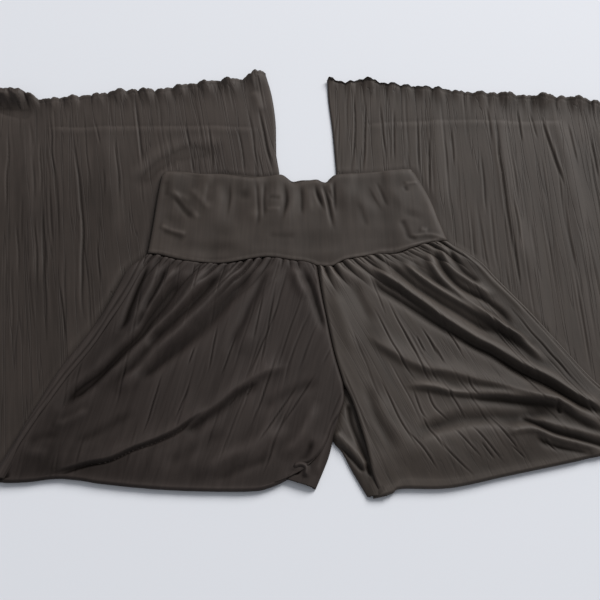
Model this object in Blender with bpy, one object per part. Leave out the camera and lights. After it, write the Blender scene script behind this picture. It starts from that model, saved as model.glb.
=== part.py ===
"""Palazzo pants of thin pleated jersey with a deep plain waistband, lying folded flat.

The pants lie with their front up. Below the hips both legs are folded under, so each leg runs back
beneath the waistband and its hem lies on the far side. From the top down the cloth lies in this order:
waistband and front legs, the folded stack that they hide, the back legs, and the front legs again, which
come round the fold and lie on the ground with their underside flat.

X runs across the pants, Y from the folded edge towards the hems, and Z up. The origin is on the ground,
in the middle of the garment's outline. Lengths are in millimetres and become metres when a mesh is made.
"""

from collections import namedtuple

import bpy
import numpy as np

for old in list(bpy.data.objects):
    bpy.data.objects.remove(old, do_unlink=True)

MM = 0.001

# Cloth and layers
LEG_CLOTH = 1.2
BAND_CLOTH = 1.6
BAND_BACK_CLOTH = 1.2
SEAM_GAP = 0.3
LAYER_GAP = 0.3
BACK_LEG_UNDERSIDE = LEG_CLOTH + LAYER_GAP
STACK_UNDERSIDE = BACK_LEG_UNDERSIDE + LEG_CLOTH + LAYER_GAP

# The hidden stack: the height of its layered edge, and its full height under the band and under the legs
STACK_EDGE_TOP = STACK_UNDERSIDE + 2.0
STACK_BAND_TOP = 7.0
STACK_LEG_TOP = 9.5
STACK_ROUNDING = 14.0
STACK_LEG_RISE = 25.0
STACK_LAYERS = 4
LAYER_BULGE = 0.8

# The band over it
BAND_BACK_TOP = STACK_BAND_TOP + LAYER_GAP + BAND_BACK_CLOTH
BAND_TOP = BAND_BACK_TOP + LAYER_GAP + BAND_CLOTH
BAND_EDGE_DROP = 1.2
BAND_EDGE_ROUNDING = 7.0
BAND_STACK_INSET = 8.0
BAND_SIDE_INSET = 2.0

# The front legs over it, and the edge where they fold under
LEG_CLEARANCE = 1.5
SEAM_STEP = 0.8
FOLD_HEIGHT = 8.0
FOLD_FADE = 18.0
STACK_FOLD_INSET = 9.5
BACK_LEG_FOLD_INSET = 7.0
RIPPLE_FADE = 14.0

# Points for each span of a smooth curve, and grid sizes
CURVE_STEPS = 16
LEG_COLUMNS = 20
LEG_ROWS = 14
CENTRE_ROWS = 8
FOLD_ROWS = 4
FLOOR_ROWS = 6
BACK_LEG_COLUMNS = 18
BACK_LEG_ROWS = 16
BAND_ROWS = 6
STACK_COLUMNS = 14
STACK_ROWS_TO_CROTCH = 9
STACK_ROWS_BELOW = 3
STACK_BAND_ROWS = 4

# Outlines, each from the points that its shape turns on. Left is towards -X.
BAND_TOP_EDGE = [(-186, 139), (-160, 141), (-97, 133), (-38, 133), (20, 130), (70, 134),
                 (113, 140), (158, 147), (184, 146)]
BAND_LEFT_EDGE = [(-186, 139), (-190, 79), (-193, 10), (-194, -4)]
BAND_RIGHT_EDGE = [(184, 146), (199, 102), (215, 44), (225, 17)]
WAIST_SEAM_LEFT = [(-194, -4), (-168, -12), (-126, -20), (-85, -21), (-44, -14), (-14, -13),
                   (18, -20), (41, -26)]
WAIST_SEAM_RIGHT = [(41, -26), (72, -20), (107, -10), (141, -6), (198, 11), (225, 17)]

CENTRE_SEAM = [(41, -26), (45, -58), (51, -97), (61, -155), (72, -200)]
LEFT_INSEAM = [(72, -200), (73, -222), (58, -255), (42, -293), (22, -322)]
RIGHT_INSEAM = [(72, -200), (82, -224), (91, -257), (97, -282), (103, -315), (110, -336)]
LEFT_OUTSEAM = [(-194, -4), (-203, -40), (-222, -88), (-250, -146), (-282, -200), (-317, -269),
                (-338, -322)]
RIGHT_OUTSEAM = [(225, 17), (262, -18), (282, -47), (316, -93), (348, -141), (384, -195),
                 (415, -229), (452, -272)]
LEFT_FOLD = [(-344, -326), (-308, -325), (-274, -322), (-219, -327), (-160, -333), (-100, -336),
             (-40, -339), (-12, -332), (18, -331)]
RIGHT_FOLD = [(104, -346), (126, -339), (138, -333), (195, -332), (267, -317), (348, -300),
              (430, -281), (456, -276)]

# The stack shows a little past the front legs, where the back legs are rolled forward.
LEFT_SILHOUETTE = [(-194, -4), (-218, -29), (-229, -57), (-242, -92), (-260, -129), (-289, -179),
                   (-318, -247), (-342, -306), (-348, -320)]
RIGHT_SILHOUETTE = [(225, 17), (266, -16), (286, -45), (320, -91), (352, -139), (388, -193),
                    (419, -227), (456, -269)]
CENTRE_TO_CROTCH = [(41, -26), (51, -97), (61, -155), (70, -205), (66, -245), (57, -271)]
LEFT_UNDER_EDGE = [(57, -271), (53, -291), (47, -308), (35, -325)]
RIGHT_UNDER_EDGE = [(57, -271), (69, -288), (77, -306), (84, -322), (96, -338)]

LEFT_LOWER_INSEAM = [(18, -331), (2, -100), (-11, 120), (-18, 175), (-20, 240), (-27, 298), (-38, 346)]
LEFT_LOWER_OUTSEAM = [(-344, -326), (-440, -50), (-525, 150), (-582.5, 272)]
LEFT_HEM = [(-38, 346), (-61, 341), (-78, 329), (-134, 323), (-204, 307), (-267, 304), (-326, 294),
            (-391, 289), (-457, 292), (-520, 283), (-582.5, 272)]
RIGHT_LOWER_INSEAM = [(104, -346), (88, -100), (73, 110), (70, 168), (67, 227), (62, 289), (61, 333)]
RIGHT_LOWER_OUTSEAM = [(456, -276), (500, -80), (545, 110), (582.5, 264)]
RIGHT_HEM = [(61, 333), (89, 323), (121, 327), (153, 320), (208, 313), (289, 301), (372, 294),
             (450, 289), (520, 275), (582.5, 264)]

# The largest folds. A fold is a soft ridge: its path, its half width and its height.
Fold = namedtuple("Fold", "path width height")
LEFT_LEG_FOLDS = [
    Fold([(-150, -30), (-175, -81), (-200, -140)], 13, 5.0),
    Fold([(-112, -34), (-145, -90), (-205, -165), (-262, -225)], 15, 6.0),
    Fold([(-64, -30), (-108, -89), (-175, -165)], 15, 6.0),
    Fold([(-14, -30), (-50, -95), (-100, -170)], 15, 5.0),
    Fold([(18, -40), (28, -90), (36, -150)], 11, 3.5),
    Fold([(-300, -296), (-235, -297), (-165, -272), (-105, -236), (-45, -188), (0, -170)], 16, 8.0),
    Fold([(-115, -306), (-72, -285), (-20, -262)], 14, 3.5),
]
RIGHT_LEG_FOLDS = [
    Fold([(80, -40), (96, -90), (110, -140)], 13, 3.5),
    Fold([(113, -22), (152, -56), (202, -98), (262, -142), (327, -184), (395, -232)], 13, 8.0),
    Fold([(154, -18), (192, -58), (242, -94), (300, -135)], 12, 5.5),
    Fold([(190, -6), (220, -56), (272, -106), (345, -175)], 13, 5.5),
    Fold([(120, -145), (160, -168), (207, -181), (280, -206), (360, -236)], 12, 5.5),
    Fold([(150, -208), (204, -214), (290, -232), (370, -268)], 12, 4.5),
    Fold([(118, -210), (140, -250), (160, -290)], 12, 3.0),
]
# Ripples on the lower legs lie along the grain of the cloth.
LEFT_RIPPLES = [
    Fold([(-545, 260), (-520, 150)], 12, 2.5),
    Fold([(-470, 286), (-435, 90)], 13, 2.5),
    Fold([(-457, 292), (-400, 287)], 13, 6.0),
    Fold([(-400, 250), (-345, -20)], 12, 3.0),
    Fold([(-345, 240), (-285, -70)], 12, 3.0),
    Fold([(-280, 270), (-240, 80)], 12, 2.5),
    Fold([(-215, 290), (-195, 170)], 12, 2.5),
    Fold([(-140, 290), (-118, 160)], 12, 2.5),
    Fold([(-70, 300), (-40, 170)], 10, 2.5),
]
RIGHT_RIPPLES = [
    Fold([(92, 300), (90, 160)], 10, 2.5),
    Fold([(150, 300), (147, 170)], 12, 2.5),
    Fold([(232, 290), (222, 60)], 12, 3.0),
    Fold([(322, 280), (316, -40)], 12, 3.0),
    Fold([(408, 270), (418, 110), (412, -40)], 12, 3.0),
    Fold([(500, 255), (490, 60)], 12, 2.5),
    Fold([(560, 225), (530, 80)], 12, 2.5),
]
BAND_CREASES = [
    Fold([(-171, 101), (-121, 52)], 12, 1.6),
    Fold([(-26, 118), (-24, 50)], 12, 1.4),
    Fold([(46, 112), (50, 50)], 10, 1.4),
    Fold([(96, 118), (118, 60)], 13, 1.2),
]

# Colours of the two jerseys
PLEATED_JERSEY = ("pleated_jersey", (0.062, 0.054, 0.048, 1.0), 0.82)
BAND_JERSEY = ("band_jersey", (0.068, 0.060, 0.053, 1.0), 0.78)


def smooth(points):
    """A dense curve that passes through the points without corners (Catmull-Rom)."""
    p = np.array(points, float)
    p = np.vstack([2 * p[0] - p[1], p, 2 * p[-1] - p[-2]])
    t = np.linspace(0, 1, CURVE_STEPS, endpoint=False)[:, None]
    spans = []
    for a, b, c, d in zip(p[:-3], p[1:-2], p[2:-1], p[3:]):
        spans.append(0.5 * (2 * b + (c - a) * t + (2 * a - 5 * b + 4 * c - d) * t**2
                            + (3 * b - a - 3 * c + d) * t**3))
    return np.vstack(spans + [p[-2:-1]])


def spaced(line, count):
    """count + 1 points spread evenly along a line."""
    steps = np.linalg.norm(np.diff(line, axis=0), axis=1)
    along = np.concatenate([[0], np.cumsum(steps)])
    at = np.linspace(0, along[-1], count + 1)
    return np.stack([np.interp(at, along, line[:, axis]) for axis in (0, 1)], axis=1)


def curve(points, count):
    return spaced(smooth(points), count)


def patch(top, bottom, left, right):
    """A grid of points that fills four edges (a Coons patch). Rows run from top to bottom."""
    u = np.linspace(0, 1, len(top))[None, :, None]
    v = np.linspace(0, 1, len(left))[:, None, None]
    across = (1 - v) * top[None] + v * bottom[None]
    down = (1 - u) * left[:, None] + u * right[:, None]
    corners = ((1 - u) * (1 - v) * top[0] + u * (1 - v) * top[-1]
               + (1 - u) * v * bottom[0] + u * v * bottom[-1])
    return across + down - corners


def distance(points, line):
    """How far each point is from a line through many points."""
    best = np.full(points.shape[:-1], np.inf)
    for a, b in zip(line[:-1], line[1:]):
        run = b - a
        share = np.clip(((points - a) @ run) / max(run @ run, 1e-9), 0, 1)
        best = np.minimum(best, np.linalg.norm(points - a - share[..., None] * run, axis=-1))
    return best


def inside(points, loop):
    """Whether each point is inside a closed line."""
    found = np.zeros(points.shape[:-1], bool)
    for a, b in zip(loop, np.roll(loop, -1, axis=0)):
        crosses = (a[1] > points[..., 1]) != (b[1] > points[..., 1])
        rise = b[1] - a[1] if b[1] != a[1] else 1e-9
        at = a[0] + (points[..., 1] - a[1]) * (b[0] - a[0]) / rise
        found ^= crosses & (points[..., 0] < at)
    return found


def ease(share):
    share = np.clip(share, 0, 1)
    return share * share * (3 - 2 * share)


def rounded(share):
    """A quarter circle: 0 at an edge, 1 where the rounding ends."""
    return np.sqrt(np.clip(1 - (1 - np.clip(share, 0, 1))**2, 0, 1))


def relief(points, folds):
    """The height that the folds add. Where two meet, the higher one counts."""
    height = np.zeros(points.shape[:-1])
    for fold in folds:
        away = distance(points, smooth(fold.path))
        height = np.maximum(height, fold.height * np.exp(-(away / fold.width)**2))
    return height


def least_around(values):
    """Each grid value made the least of itself and its neighbours, so that cells at an edge stay flat."""
    wide = np.pad(values, 1, mode="edge")
    rows, columns = values.shape
    return np.min([wide[r:r + rows, c:c + columns] for r in range(3) for c in range(3)], axis=0)


def lift(points, height):
    return np.concatenate([points, np.broadcast_to(height, points.shape[:-1])[..., None]], axis=-1)


WAIST_SEAM = np.vstack([smooth(WAIST_SEAM_LEFT), smooth(WAIST_SEAM_RIGHT)])
UPPER_OUTLINE = np.vstack([
    smooth(BAND_TOP_EDGE), smooth(BAND_RIGHT_EDGE), smooth(RIGHT_SILHOUETTE), smooth(RIGHT_FOLD)[::-1],
    smooth(RIGHT_UNDER_EDGE)[::-1], smooth(LEFT_UNDER_EDGE), smooth(LEFT_FOLD)[::-1],
    smooth(LEFT_SILHOUETTE)[::-1], smooth(BAND_LEFT_EDGE)[::-1],
])


def stack_edges():
    """The edges of the stack's three patches: (band, left leg, right leg), each top, bottom, left, right."""
    inner = curve(CENTRE_TO_CROTCH, STACK_ROWS_TO_CROTCH)
    seam_left = curve(WAIST_SEAM_LEFT, STACK_COLUMNS)
    seam_right = curve(WAIST_SEAM_RIGHT, STACK_COLUMNS)
    rows = STACK_ROWS_TO_CROTCH + STACK_ROWS_BELOW
    legs = []
    for seam, silhouette, under, fold in (
        (seam_left, LEFT_SILHOUETTE, LEFT_UNDER_EDGE, LEFT_FOLD),
        (seam_right, RIGHT_SILHOUETTE, RIGHT_UNDER_EDGE, RIGHT_FOLD),
    ):
        inner_side = np.vstack([inner, curve(under, STACK_ROWS_BELOW)[1:]])
        outer_side = curve(silhouette, rows)
        bottom = curve(fold, STACK_COLUMNS) + (0, STACK_FOLD_INSET)
        left, right = (outer_side, inner_side) if fold is LEFT_FOLD else (inner_side, outer_side)
        # The fold's ends are drawn in to the corners of the two sides.
        ends = np.linspace(0, 1, STACK_COLUMNS + 1)[:, None]
        bottom += (1 - ends)**4 * (left[-1] - bottom[0]) + ends**4 * (right[-1] - bottom[-1])
        legs.append((seam, bottom, left, right))
    seam = np.vstack([seam_left, seam_right[1:]])
    top = curve(BAND_TOP_EDGE, 2 * STACK_COLUMNS) - (0, BAND_STACK_INSET)
    squeeze = np.linspace(BAND_STACK_INSET, -BAND_STACK_INSET, len(top))
    top[:, 0] += squeeze
    sides = []
    for edge, end, corner in ((BAND_LEFT_EDGE, 0, 1), (BAND_RIGHT_EDGE, -1, -1)):
        side = curve(edge, STACK_BAND_ROWS)
        share = np.linspace(1, 0, len(side))[:, None]
        side = side + share * (top[end] - side[0])
        side[1:-1, 0] += corner * BAND_SIDE_INSET
        sides.append(side)
    return [(top, seam, sides[0], sides[1])] + legs


def edge_loop(patches):
    """The outline of the three patches, all round."""
    band, left_leg, right_leg = patches
    top, _, band_left, band_right = band
    _, bottom_left, left_out, left_in = left_leg
    _, bottom_right, right_in, right_out = right_leg
    return np.vstack([
        top[:-1], band_right[:-1], right_out[:-1], bottom_right[::-1][:-1],
        right_in[:STACK_ROWS_TO_CROTCH:-1], left_in[STACK_ROWS_TO_CROTCH:-1], bottom_left[::-1][:-1],
        left_out[::-1][:-1], band_left[::-1][:-1],
    ])


STACK_PATCHES = stack_edges()
STACK_LOOP = edge_loop(STACK_PATCHES)


def below_waist(points):
    """0 on the band and 1 on the legs, with a soft rise below the waist seam."""
    seam_y = np.interp(points[..., 0], WAIST_SEAM[:, 0], WAIST_SEAM[:, 1])
    return ease((seam_y - points[..., 1]) / STACK_LEG_RISE)


def stack_top(points):
    """The height of the hidden stack: rounded at its edge, and higher under the legs than under the band."""
    loop = np.vstack([STACK_LOOP, STACK_LOOP[:1]])
    depth = np.where(inside(points, STACK_LOOP), distance(points, loop), 0)
    full = STACK_BAND_TOP + (STACK_LEG_TOP - STACK_BAND_TOP) * below_waist(points)
    return STACK_EDGE_TOP + (full - STACK_EDGE_TOP) * rounded(depth / STACK_ROUNDING)


def leg_top(points, folds, fold_line):
    """The outer height of a front leg where it lies on the stack."""
    rise = below_waist(points)
    base = stack_top(points) + LEG_CLEARANCE + LEG_CLOTH + SEAM_STEP * (1 - rise)
    fade = ease(distance(points, smooth(fold_line)) / FOLD_FADE) * rise
    return np.maximum(base, FOLD_HEIGHT) + relief(points, folds) * fade


def band_height(points, full):
    """A height on the band, which falls off towards its sides and its top edge."""
    edge = np.vstack([smooth(BAND_LEFT_EDGE)[::-1], smooth(BAND_TOP_EDGE), smooth(BAND_RIGHT_EDGE)])
    depth = distance(points, edge)
    return full - BAND_EDGE_DROP * (1 - rounded(depth / BAND_EDGE_ROUNDING))


def make_object(name, points, triangles, material):
    mesh = bpy.data.meshes.new(name)
    mesh.from_pydata((np.asarray(points) * MM).tolist(), [], [tuple(map(int, t)) for t in triangles])
    mesh.materials.append(material)
    mesh.validate()
    mesh.shade_smooth()
    made = bpy.data.objects.new(name, mesh)
    bpy.context.scene.collection.objects.link(made)
    made.parent = garment
    return made


def grid_triangles(rows, columns, first=0, flipped=False):
    """Two triangles for each cell of a grid of points that is stored row by row."""
    found = []
    for row in range(rows - 1):
        for column in range(columns - 1):
            a = first + row * columns + column
            b, c, d = a + columns, a + columns + 1, a + 1
            found += [(a, c, b), (a, d, c)] if flipped else [(a, b, c), (a, c, d)]
    return found


def cloth_wall(name, outer, thickness, material):
    """A closed wall of cloth: the outer grid, the inner one behind it, and the rim between them."""
    down = np.gradient(outer, axis=0)
    across = np.gradient(outer, axis=1)
    normal = np.cross(down, across)
    # The rims stand upright, so that the gap at a seam stays even.
    normal[:, (0, -1), 0] = 0
    normal[0, :, 1] = 0
    normal /= np.linalg.norm(normal, axis=-1, keepdims=True)
    inner = outer - normal * thickness
    rows, columns = outer.shape[:2]
    count = rows * columns
    points = np.vstack([outer.reshape(-1, 3), inner.reshape(-1, 3)])
    triangles = grid_triangles(rows, columns) + grid_triangles(rows, columns, count, flipped=True)
    ring = ([(0, c) for c in range(columns)] + [(r, columns - 1) for r in range(1, rows)]
            + [(rows - 1, c) for c in range(columns - 2, -1, -1)] + [(r, 0) for r in range(rows - 2, 0, -1)])
    ring = [row * columns + column for row, column in ring]
    for a, b in zip(ring, ring[1:] + ring[:1]):
        triangles += [(a, b, count + b), (a, count + b, count + a)]
    return make_object(name, points, triangles, material)


def front_leg(name, seam, outseam, inseam, fold_line, lower_in, lower_out, hem, folds, material):
    """A front leg: down from the waist seam, round the fold, and along the ground to the hem."""
    left_side = fold_line is LEFT_FOLD
    half_gap = SEAM_GAP / 2
    radius = FOLD_HEIGHT / 2
    bottom = curve(fold_line, LEG_COLUMNS)
    inner = np.vstack([curve(CENTRE_SEAM, CENTRE_ROWS), curve(inseam, LEG_ROWS - CENTRE_ROWS)[1:]])
    inner += (-half_gap if left_side else half_gap, 0)
    outer = curve(outseam, LEG_ROWS)
    top = curve(seam, LEG_COLUMNS) - (0, half_gap)
    top[:, 0] = np.clip(top[:, 0], min(inner[0, 0], outer[0, 0]), max(inner[0, 0], outer[0, 0]))
    outer[0] = top[0] if left_side else top[-1]
    inner[0] = top[-1] if left_side else top[0]
    start = bottom + (0, radius)
    outer[-1], inner[-1] = (start[0], start[-1]) if left_side else (start[-1], start[0])
    left, right = (outer, inner) if left_side else (inner, outer)
    upper = patch(top, start, left, right)
    heights = leg_top(upper, folds, fold_line)
    heights[-1] = FOLD_HEIGHT
    rows = [lift(upper, heights)]
    for step in range(1, FOLD_ROWS):
        angle = np.pi * step / FOLD_ROWS
        ring = bottom + (0, radius * (1 - np.sin(angle)))
        rows.append(lift(ring, radius * (1 + np.cos(angle)))[None])
    lower_left, lower_right = (lower_out, lower_in) if left_side else (lower_in, lower_out)
    left = curve(lower_left, FLOOR_ROWS)
    right = curve(lower_right, FLOOR_ROWS)
    far = curve(hem[::-1] if left_side else hem, LEG_COLUMNS)
    left[0], right[0], left[-1], right[-1] = start[0], start[-1], far[0], far[-1]
    rows.append(lift(patch(start, far, left, right), 0.0))
    return cloth_wall(name, np.vstack(rows), LEG_CLOTH, material)


def back_leg(name, fold_line, lower_in, lower_out, hem, ripples, material):
    """The part of a back leg that runs from the fold to the hem, over the front leg."""
    left_side = fold_line is LEFT_FOLD
    lower_left, lower_right = (lower_out, lower_in) if left_side else (lower_in, lower_out)
    near = curve(fold_line, BACK_LEG_COLUMNS) + (0, BACK_LEG_FOLD_INSET)
    far = curve(hem[::-1] if left_side else hem, BACK_LEG_COLUMNS)
    left = curve(lower_left, BACK_LEG_ROWS)[::-1]
    right = curve(lower_right, BACK_LEG_ROWS)[::-1]
    left[0], right[0], left[-1], right[-1] = far[0], far[-1], near[0], near[-1]
    points = patch(far, near, left, right)
    away = np.where(inside(points, UPPER_OUTLINE), 0, distance(points, UPPER_OUTLINE))
    height = relief(points, ripples) * ease(least_around(away) / RIPPLE_FADE)
    return cloth_wall(name, lift(points, BACK_LEG_UNDERSIDE + LEG_CLOTH + height), LEG_CLOTH, material)


def band_wall(name, full, thickness, creases, material):
    """One side of the waistband, from its top edge down to the waist seam."""
    top = curve(BAND_TOP_EDGE, 2 * LEG_COLUMNS)
    left = curve(BAND_LEFT_EDGE, BAND_ROWS)
    right = curve(BAND_RIGHT_EDGE, BAND_ROWS)
    bottom = np.vstack([curve(WAIST_SEAM_LEFT, LEG_COLUMNS), curve(WAIST_SEAM_RIGHT, LEG_COLUMNS)[1:]])
    bottom += (0, SEAM_GAP / 2)
    left[0], right[0], left[-1], right[-1] = top[0], top[-1], bottom[0], bottom[-1]
    points = patch(top, bottom, left, right)
    height = band_height(points, full) + relief(points, creases)
    return cloth_wall(name, lift(points, height), thickness, material)


def hidden_stack(name, material):
    """The rounded solid of the layers that the front hides, with the layers showing along its edge."""
    points, triangles, known = [], [], {}
    for top, bottom, left, right in STACK_PATCHES:
        grid = patch(top, bottom, left, right)
        places = np.zeros(grid.shape[:2], int)
        for row in range(grid.shape[0]):
            for column in range(grid.shape[1]):
                key = tuple(np.round(grid[row, column], 2))
                if key not in known:
                    known[key] = len(points)
                    points.append(grid[row, column])
                places[row, column] = known[key]
        a, b, c, d = places[:-1, :-1], places[1:, :-1], places[1:, 1:], places[:-1, 1:]
        triangles += list(zip(a.ravel(), b.ravel(), c.ravel()))
        triangles += list(zip(a.ravel(), c.ravel(), d.ravel()))
    points = np.array(points)
    count = len(points)
    edges = set()
    for a, b, c in triangles:
        edges |= {(a, b), (b, c), (c, a)}
    follows = {a: b for a, b in edges if (b, a) not in edges}
    ring = [next(iter(follows))]
    while follows[ring[-1]] != ring[0]:
        ring.append(follows[ring[-1]])
    loop = points[ring]
    run = np.roll(loop, -1, axis=0) - np.roll(loop, 1, axis=0)
    outward = np.stack([run[:, 1], -run[:, 0]], axis=1)
    outward /= np.linalg.norm(outward, axis=1, keepdims=True)
    top = lift(points, stack_top(points))
    top[ring, 2] = STACK_EDGE_TOP
    bottom = lift(points, STACK_UNDERSIDE)
    solid = [top, bottom]
    layer = (STACK_EDGE_TOP - STACK_UNDERSIDE) / STACK_LAYERS
    rings = [ring]
    for step in range(STACK_LAYERS - 1, 0, -1):
        bulge = LAYER_BULGE if step % 2 else -LAYER_BULGE
        rings.append([sum(len(part) for part in solid) + i for i in range(len(ring))])
        solid.append(lift(loop + outward * bulge, STACK_UNDERSIDE + step * layer))
    rings.append([count + i for i in ring])
    faces = list(triangles) + [(count + a, count + c, count + b) for a, b, c in triangles]
    for high, low in zip(rings[:-1], rings[1:]):
        for i in range(len(ring)):
            j = (i + 1) % len(ring)
            faces += [(high[j], high[i], low[i]), (high[j], low[i], low[j])]
    return make_object(name, np.vstack(solid), faces, material)


def jersey(name, colour, roughness):
    made = bpy.data.materials.new(name)
    made.use_nodes = True
    shader = made.node_tree.nodes["Principled BSDF"]
    shader.inputs["Base Color"].default_value = colour
    shader.inputs["Roughness"].default_value = roughness
    shader.inputs["Metallic"].default_value = 0.0
    made.diffuse_color = colour
    return made


garment = bpy.data.objects.new("palazzo_pants", None)
bpy.context.scene.collection.objects.link(garment)
pleated = jersey(*PLEATED_JERSEY)
plain = jersey(*BAND_JERSEY)

band_wall("waistband_front", BAND_TOP, BAND_CLOTH, BAND_CREASES, plain)
band_wall("waistband_back", BAND_BACK_TOP, BAND_BACK_CLOTH, [], plain)
front_leg("front_leg_left", WAIST_SEAM_LEFT, LEFT_OUTSEAM, LEFT_INSEAM, LEFT_FOLD,
          LEFT_LOWER_INSEAM, LEFT_LOWER_OUTSEAM, LEFT_HEM, LEFT_LEG_FOLDS, pleated)
front_leg("front_leg_right", WAIST_SEAM_RIGHT, RIGHT_OUTSEAM, RIGHT_INSEAM, RIGHT_FOLD,
          RIGHT_LOWER_INSEAM, RIGHT_LOWER_OUTSEAM, RIGHT_HEM, RIGHT_LEG_FOLDS, pleated)
back_leg("back_leg_left", LEFT_FOLD, LEFT_LOWER_INSEAM, LEFT_LOWER_OUTSEAM, LEFT_HEM, LEFT_RIPPLES, pleated)
back_leg("back_leg_right", RIGHT_FOLD, RIGHT_LOWER_INSEAM, RIGHT_LOWER_OUTSEAM, RIGHT_HEM, RIGHT_RIPPLES,
         pleated)
hidden_stack("hidden_layers", pleated)
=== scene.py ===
"""Palazzo pants of pleated jersey with a deep plain waistband, lying folded flat: the visible cloth.

Every piece lies on the form of its CAD node. Tables are in millimetres in the frame of the part: X runs
across the pants, Y from the folded edge towards the hems and Z up. "Left" is towards -X.
"""

from collections import namedtuple

import bpy
import numpy as np
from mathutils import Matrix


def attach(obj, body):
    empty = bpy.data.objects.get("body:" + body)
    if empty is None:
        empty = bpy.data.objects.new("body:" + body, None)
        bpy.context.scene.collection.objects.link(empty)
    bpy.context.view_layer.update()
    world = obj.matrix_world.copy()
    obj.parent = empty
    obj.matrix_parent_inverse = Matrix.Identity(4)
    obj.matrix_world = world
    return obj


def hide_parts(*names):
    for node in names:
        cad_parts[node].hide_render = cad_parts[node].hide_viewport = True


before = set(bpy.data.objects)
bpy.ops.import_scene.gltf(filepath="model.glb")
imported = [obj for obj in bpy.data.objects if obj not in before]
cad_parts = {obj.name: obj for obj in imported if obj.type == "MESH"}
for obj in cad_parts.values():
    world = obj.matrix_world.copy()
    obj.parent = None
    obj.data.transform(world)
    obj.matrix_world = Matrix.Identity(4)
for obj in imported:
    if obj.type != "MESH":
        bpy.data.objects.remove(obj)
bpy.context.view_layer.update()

MM = 0.001

# The cloth, thinner than its CAD solids, and the heights and roundings of its layers, close to theirs
LEG_CLOTH = 0.8
LOWER_CLOTH = 0.75 * LEG_CLOTH
EDGE_CLOTH = 0.9 * LEG_CLOTH
BAND_CLOTH = 1.3
BAND_BACK_CLOTH = 0.8 * BAND_CLOTH
LOWER_LEG_TOP = 2.3
LOWER_LEG_LOFT = 0.9
COVERED_TOP = 2.8
FOLD_HEIGHT = 8.0
EDGE_HEIGHT = 8.0
BAND_FULL = 10.4
LEG_FULL = 12.2
LEG_RISE = 25.0
CROWN_ROUNDING = 18.0
SIDE_DROP = 4.6
SIDE_ROUNDING = 9.0
FOLD_ROUNDING = 42.0
SEAM_GAP = 0.3
# The hidden stack: how far inside the outline it ends, and the place where it ends short of the crotch
STACK_INSET = 15.0
STACK_CROTCH = (66, -185)
STACK_CROTCH_CLEARANCE = 45.0
# Its edge: heights, and how far it stands out from its flat top
STACK_PROFILE = [
    (2.9, 5.0), (3.3, 6.0), (3.6, 5.0), (3.9, 5.8), (4.2, 4.4), (4.5, 4.6), (4.8, 2.5), (4.9, 0.0),
]
# The lowest that the cloth lies over the stack, and the front of the band over its back
LEG_LEAST = 6.3
BAND_LEAST = 7.9
BAND_BACK_TOP = 6.5
BAND_BACK_EDGE_RISE = 1.8
# Hems: their length, how they roll, how high their waves stand, and where the stitching runs
HEM_LENGTH = 560
HEM_ROLL = 1.2
FLOOR_HEM_ROLL = 0.5
HEM_WAVE_RISE = 1.05
HEM_TOP = 13
STITCH_LINE = 5.5
STITCH_DEPTH = 0.4
# Folds below the waist seam: heights, and how far down they reach
PUCKER_HEIGHT = 2.8
PUCKER_REACH = 12
GATHER_HEIGHT = 4.4
GATHER_REACH = 18
SEAM_LIP = 0.8
INSEAM_SINK = 1.9
OUTSEAM_SINK = 1.3
# Pleats scattered over each leg
PLEAT_DEPTH = 0.95
UPPER_STRAYS = 50
LOWER_STRAYS = 130
# Grids: columns and rows
FRONT_LEG_GRID = (265, 231)
ARC_ROWS = 12
FLOOR_ROWS = 40
BACK_LEG_GRID = (371, 181)
BAND_FRONT_GRID = (311, 117)
BAND_BACK_GRID = (151, 61)
STRIP_GRID = (20, 201)
FLAP_GRID = (47, 91)
STACK_POINTS = 480
NOISE_GRID = (89, 97)

# Outlines, each from the points that its shape turns on
BAND_TOP_EDGE = [
    (-186, 139), (-178, 143), (-155, 142), (-124, 137), (-100, 138), (-77, 135), (-53, 131), (-30, 134),
    (-13, 137), (-6, 135), (2, 126), (8, 122), (22, 126), (41, 129), (50, 124), (56, 123), (62, 130),
    (70, 136), (90, 138), (112, 140), (150, 144), (178, 147), (186, 142),
]
BAND_LEFT_EDGE = [(-186, 139), (-189, 98), (-191, 47), (-194, -4)]
BAND_RIGHT_EDGE = [(186, 142), (203, 98), (215, 53), (225, 18)]
WAIST_SEAM_LEFT = [
    (-194, -4), (-177, -7), (-159, -12), (-136, -17), (-110, -20), (-83, -20), (-57, -15), (-35, -11),
    (-18, -11), (4, -15), (26, -18), (41, -24),
]
WAIST_SEAM_RIGHT = [
    (41, -24), (61, -25), (79, -15), (106, -9), (124, -5), (150, -4), (177, 6), (196, 13), (225, 18),
]
CENTRE_SEAM = [(41, -24), (45, -58), (51, -97), (61, -155), (72, -200)]
LEFT_INSEAM = [
    (72, -200), (73, -222), (67, -240), (58, -255), (51, -275), (42, -290), (29, -302), (14, -305),
]
RIGHT_INSEAM = [(72, -200), (82, -224), (91, -257), (97, -282), (103, -315), (110, -336)]
LEFT_OUTSEAM = [
    (-194, -4), (-203, -40), (-222, -88), (-250, -146), (-282, -200), (-317, -269), (-338, -322),
]
RIGHT_OUTSEAM = [
    (225, 18), (262, -18), (282, -47), (316, -93), (348, -141), (384, -195), (415, -229), (452, -272),
]
LEFT_FOLD = [
    (-344, -326), (-308, -325), (-274, -321), (-244, -323), (-219, -327), (-160, -333), (-100, -336),
    (-40, -336), (-19, -332), (-3, -325), (8, -317), (14, -309),
]
RIGHT_FOLD = [
    (104, -346), (126, -339), (138, -333), (195, -332), (267, -317), (348, -300), (430, -281),
    (456, -276),
]
LEFT_SILHOUETTE = [
    (-194, -4), (-218, -29), (-229, -57), (-242, -92), (-260, -129), (-289, -179), (-318, -247),
    (-342, -306), (-348, -320),
]
RIGHT_SILHOUETTE = [
    (225, 18), (266, -16), (286, -45), (320, -91), (352, -139), (388, -193), (419, -227), (456, -269),
]
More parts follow.
